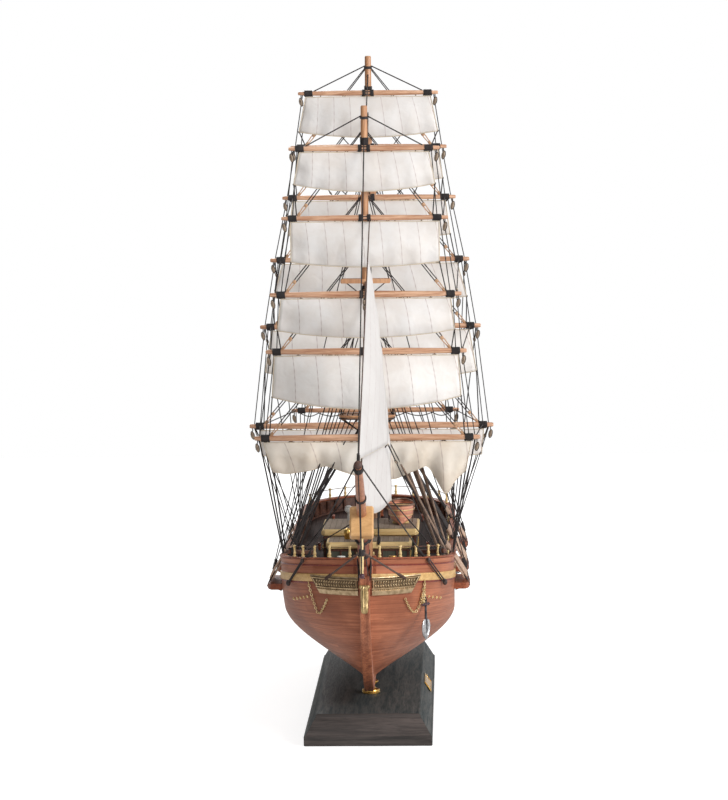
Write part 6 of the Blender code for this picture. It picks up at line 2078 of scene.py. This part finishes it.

# Falls on the rail
# The falls of the fore halyards and buntlines, led down from the topmast to the rail inside the shrouds:
# brown and undyed line laid up together to port; to starboard their lower lengths are black line, painted
# shade for the side that lies in shadow.
served = rope("served_rope", srgb(60, 44, 40), srgb(206, 174, 150), pitch=0.0014)
falls = Shape()
for side in (-1, 1):
    for k in range(8):
        y = fore_y - 0.016 + 0.0078 * k
        foot_x = breadth(1, y, -BULWARK_THICK) - 0.0016 - 0.0034 * (k % 3)
        foot = Vector((side * foot_x, y, rail_z(y) - 0.001))
        head = Vector((side * 0.005, fore_y - DOUBLING, 0.27 + 0.013 * (k * 5 % 8)))
        mid = foot.lerp(head, (0.225 - foot.z) / (head.z - foot.z))
        # The starboard lower lengths take the black rope: painted shade.
        falls.paint = int(side < 0)
        falls.tube([foot, mid], 0.00088 + 0.00014 * (k % 3) if side > 0 else 0.0006, sides=7)
        falls.paint = 1
        falls.tube([mid, head], FINE_R)
piece("fore_falls", falls, [served, tarred])

# Cowl
# A ventilator of pale grey painted metal on the main house's roof: a round cowl on a short stem,
# with a rolled edge round its mouth.
cowl = Shape()
stem_foot = Vector((-0.02, -0.026, roof_top))
x, y, cowl_z = stem_foot.x, stem_foot.y, roof_top + 0.0085
cowl.tube([stem_foot, (x, y, cowl_z)], 0.0016)
cowl.ball((x, y - 0.0006, cowl_z + 0.001), (0.0036, 0.0034, 0.0036), steps=18)
cowl.hoop((x, y - 0.0034, cowl_z + 0.0012), (0, 1, 0.1), 0.0024, 0.0004, steps=18)
grey_paint = wood("grey_paint", srgb(150, 148, 144), srgb(196, 194, 190), (200, 200, 200), roughness=0.5)
piece("ventilator_cowl", cowl, [grey_paint])

# Capstans, bitts and bell
# Small fittings turned in red-brown wood: capstans, one with a brass and one with a white head,
# pairs of bitts along the decks, and a domed brass bell on the fore house's roof.
white_paint = wood("white_paint", srgb(222, 222, 214), srgb(240, 240, 234), (200, 200, 200), roughness=0.4)
fittings = Shape()
CAPSTAN = ((0, 0.0112), (0.003, 0.0112), (0.0036, 0.0106), (0.0036, 0.0092), (0.003, 0.0086), (0.0022, 0.008),
           (0.0018, 0.005), (0.0024, 0.0024), (0.0034, 0.0014), (0.0036, 0), (0, 0))
for x, y, paint in ((-0.021, -0.2, 2), (0.021, -0.2, 1), (0, 0.078, 0), (0, 0.17, 0)):
    z = deck_z(y, x) + GAP
    fittings.paint = 0
    fittings.turned(CAPSTAN, (x, y, z), steps=20, flutes=8, depth=0.08)
    fittings.paint = paint
    fittings.turned([(0, 0.0006), (0.0032, 0.0005), (0.0034, 0), (0, 0)], (x, y, z + 0.0112), steps=20)
fittings.paint = 0
for out, pair_y in ((0.036, -0.19), (0.048, 0.03), (0.042, 0.21)):
    for x, y in ((side * out, pair_y + shift) for side in (-1, 1) for shift in (-0.003, 0.003)):
        fittings.turned([(0, 0.006), (0.0014, 0.0059), (0.0017, 0.0052), (0.0013, 0.0046), (0.0012, 0)],
                        (x, y, deck_z(y, x) + GAP), steps=12)
fittings.paint = 1
fittings.turned([(0, 0.0092), (0.0014, 0.009), (0.003, 0.0078), (0.0036, 0.0058), (0.0036, 0.0022),
                 (0.003, 0.001), (0.003, 0), (0, 0)], (-0.018, -0.117, 0.1582), steps=20)
piece("capstans_and_bitts", fittings, [red_spar, brass, white_paint])

# Ladders and companion
# Two short ladders of dark mahogany lean against the main house's after end, and a companion with
# its slide and runners stands on the cabin.
steps = Shape()
for x in (-0.03, 0.03):
    foot, head = Vector((x, -0.002, deck_z(-0.002, x) + GAP)), Vector((x, -0.0105, 0.1625))
    for shift in (-0.0038, 0.0038):
        steps.tube([foot + Vector((shift, 0, 0)), head + Vector((shift, 0, 0))], 0.0006)
    for k in range(6):
        steps.block((0.008, 0.0026, 0.0007), foot.lerp(head, (k + 0.6) / 6.4), edge=0.0002)
low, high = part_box("cabin")
steps.block((0.012, 0.013, 0.005), (0, low.y + 0.011, high.z + 0.0022), edge=0.0008)
for side in (-1, 1):
    steps.block((0.0016, 0.02, 0.0016), (side * 0.0075, low.y + 0.013, high.z + 0.0006), edge=0.0003)
steps.block((0.02, 0.012, 0.0028), (0, high.y - 0.012, high.z + 0.0012), edge=0.0012)
piece("ladders_and_companion", steps, [dark_mahogany])

# Catheads and cat tackles
# Two short mahogany beams over the bow rail, each with a black double tackle that leads down the
# side to a dark block.
dark_block = wood("dark_block", srgb(44, 34, 32), srgb(82, 62, 56), (300, 300, 300), roughness=0.5)
TACKLE_TOP, TACKLE_FOOT = (0.0508, 0.1555), (0.0637, 0.134)
cats = Shape()
for side in (-1, 1):
    inner = Vector((side * 0.042, -0.206, rail_z(-0.206) + 0.0044))
    outer = Vector((side * 0.064, -0.224, rail_z(-0.224) + 0.006))
    way = (outer - inner).normalized()
    across = Vector((-way.y, way.x, 0)).normalized()
    place = facing((inner + outer) / 2, way, across, way.cross(across))
    cats.paint = 0
    cats.block(((outer - inner).length, 0.0036, 0.0036), place, edge=0.0005)
    cats.paint = 1
    cats.wrap(outer - way * 0.005, outer - way * 0.002, 0.0029, 0.0004, 4)
    path = []
    for k in range(7):
        x, z = (blend(high_end, low_end, k / 6) for high_end, low_end in zip(TACKLE_TOP, TACKLE_FOOT))
        path.append(mirrored(bow_spot(x, z, 0.0022), side))
    for shift in (-0.0008, 0.0008):
        cats.tube([spot + Vector((shift, 0, shift * 0.4)) for spot in path], 0.00055)
    cats.paint = 2
    cats.ball(path[-1], (0.002, 0.0016, 0.0026), steps=12)
    cats.ball(path[0], (0.0016, 0.0014, 0.002), steps=12)
piece("catheads", cats, [dark_mahogany, tarred, dark_block])
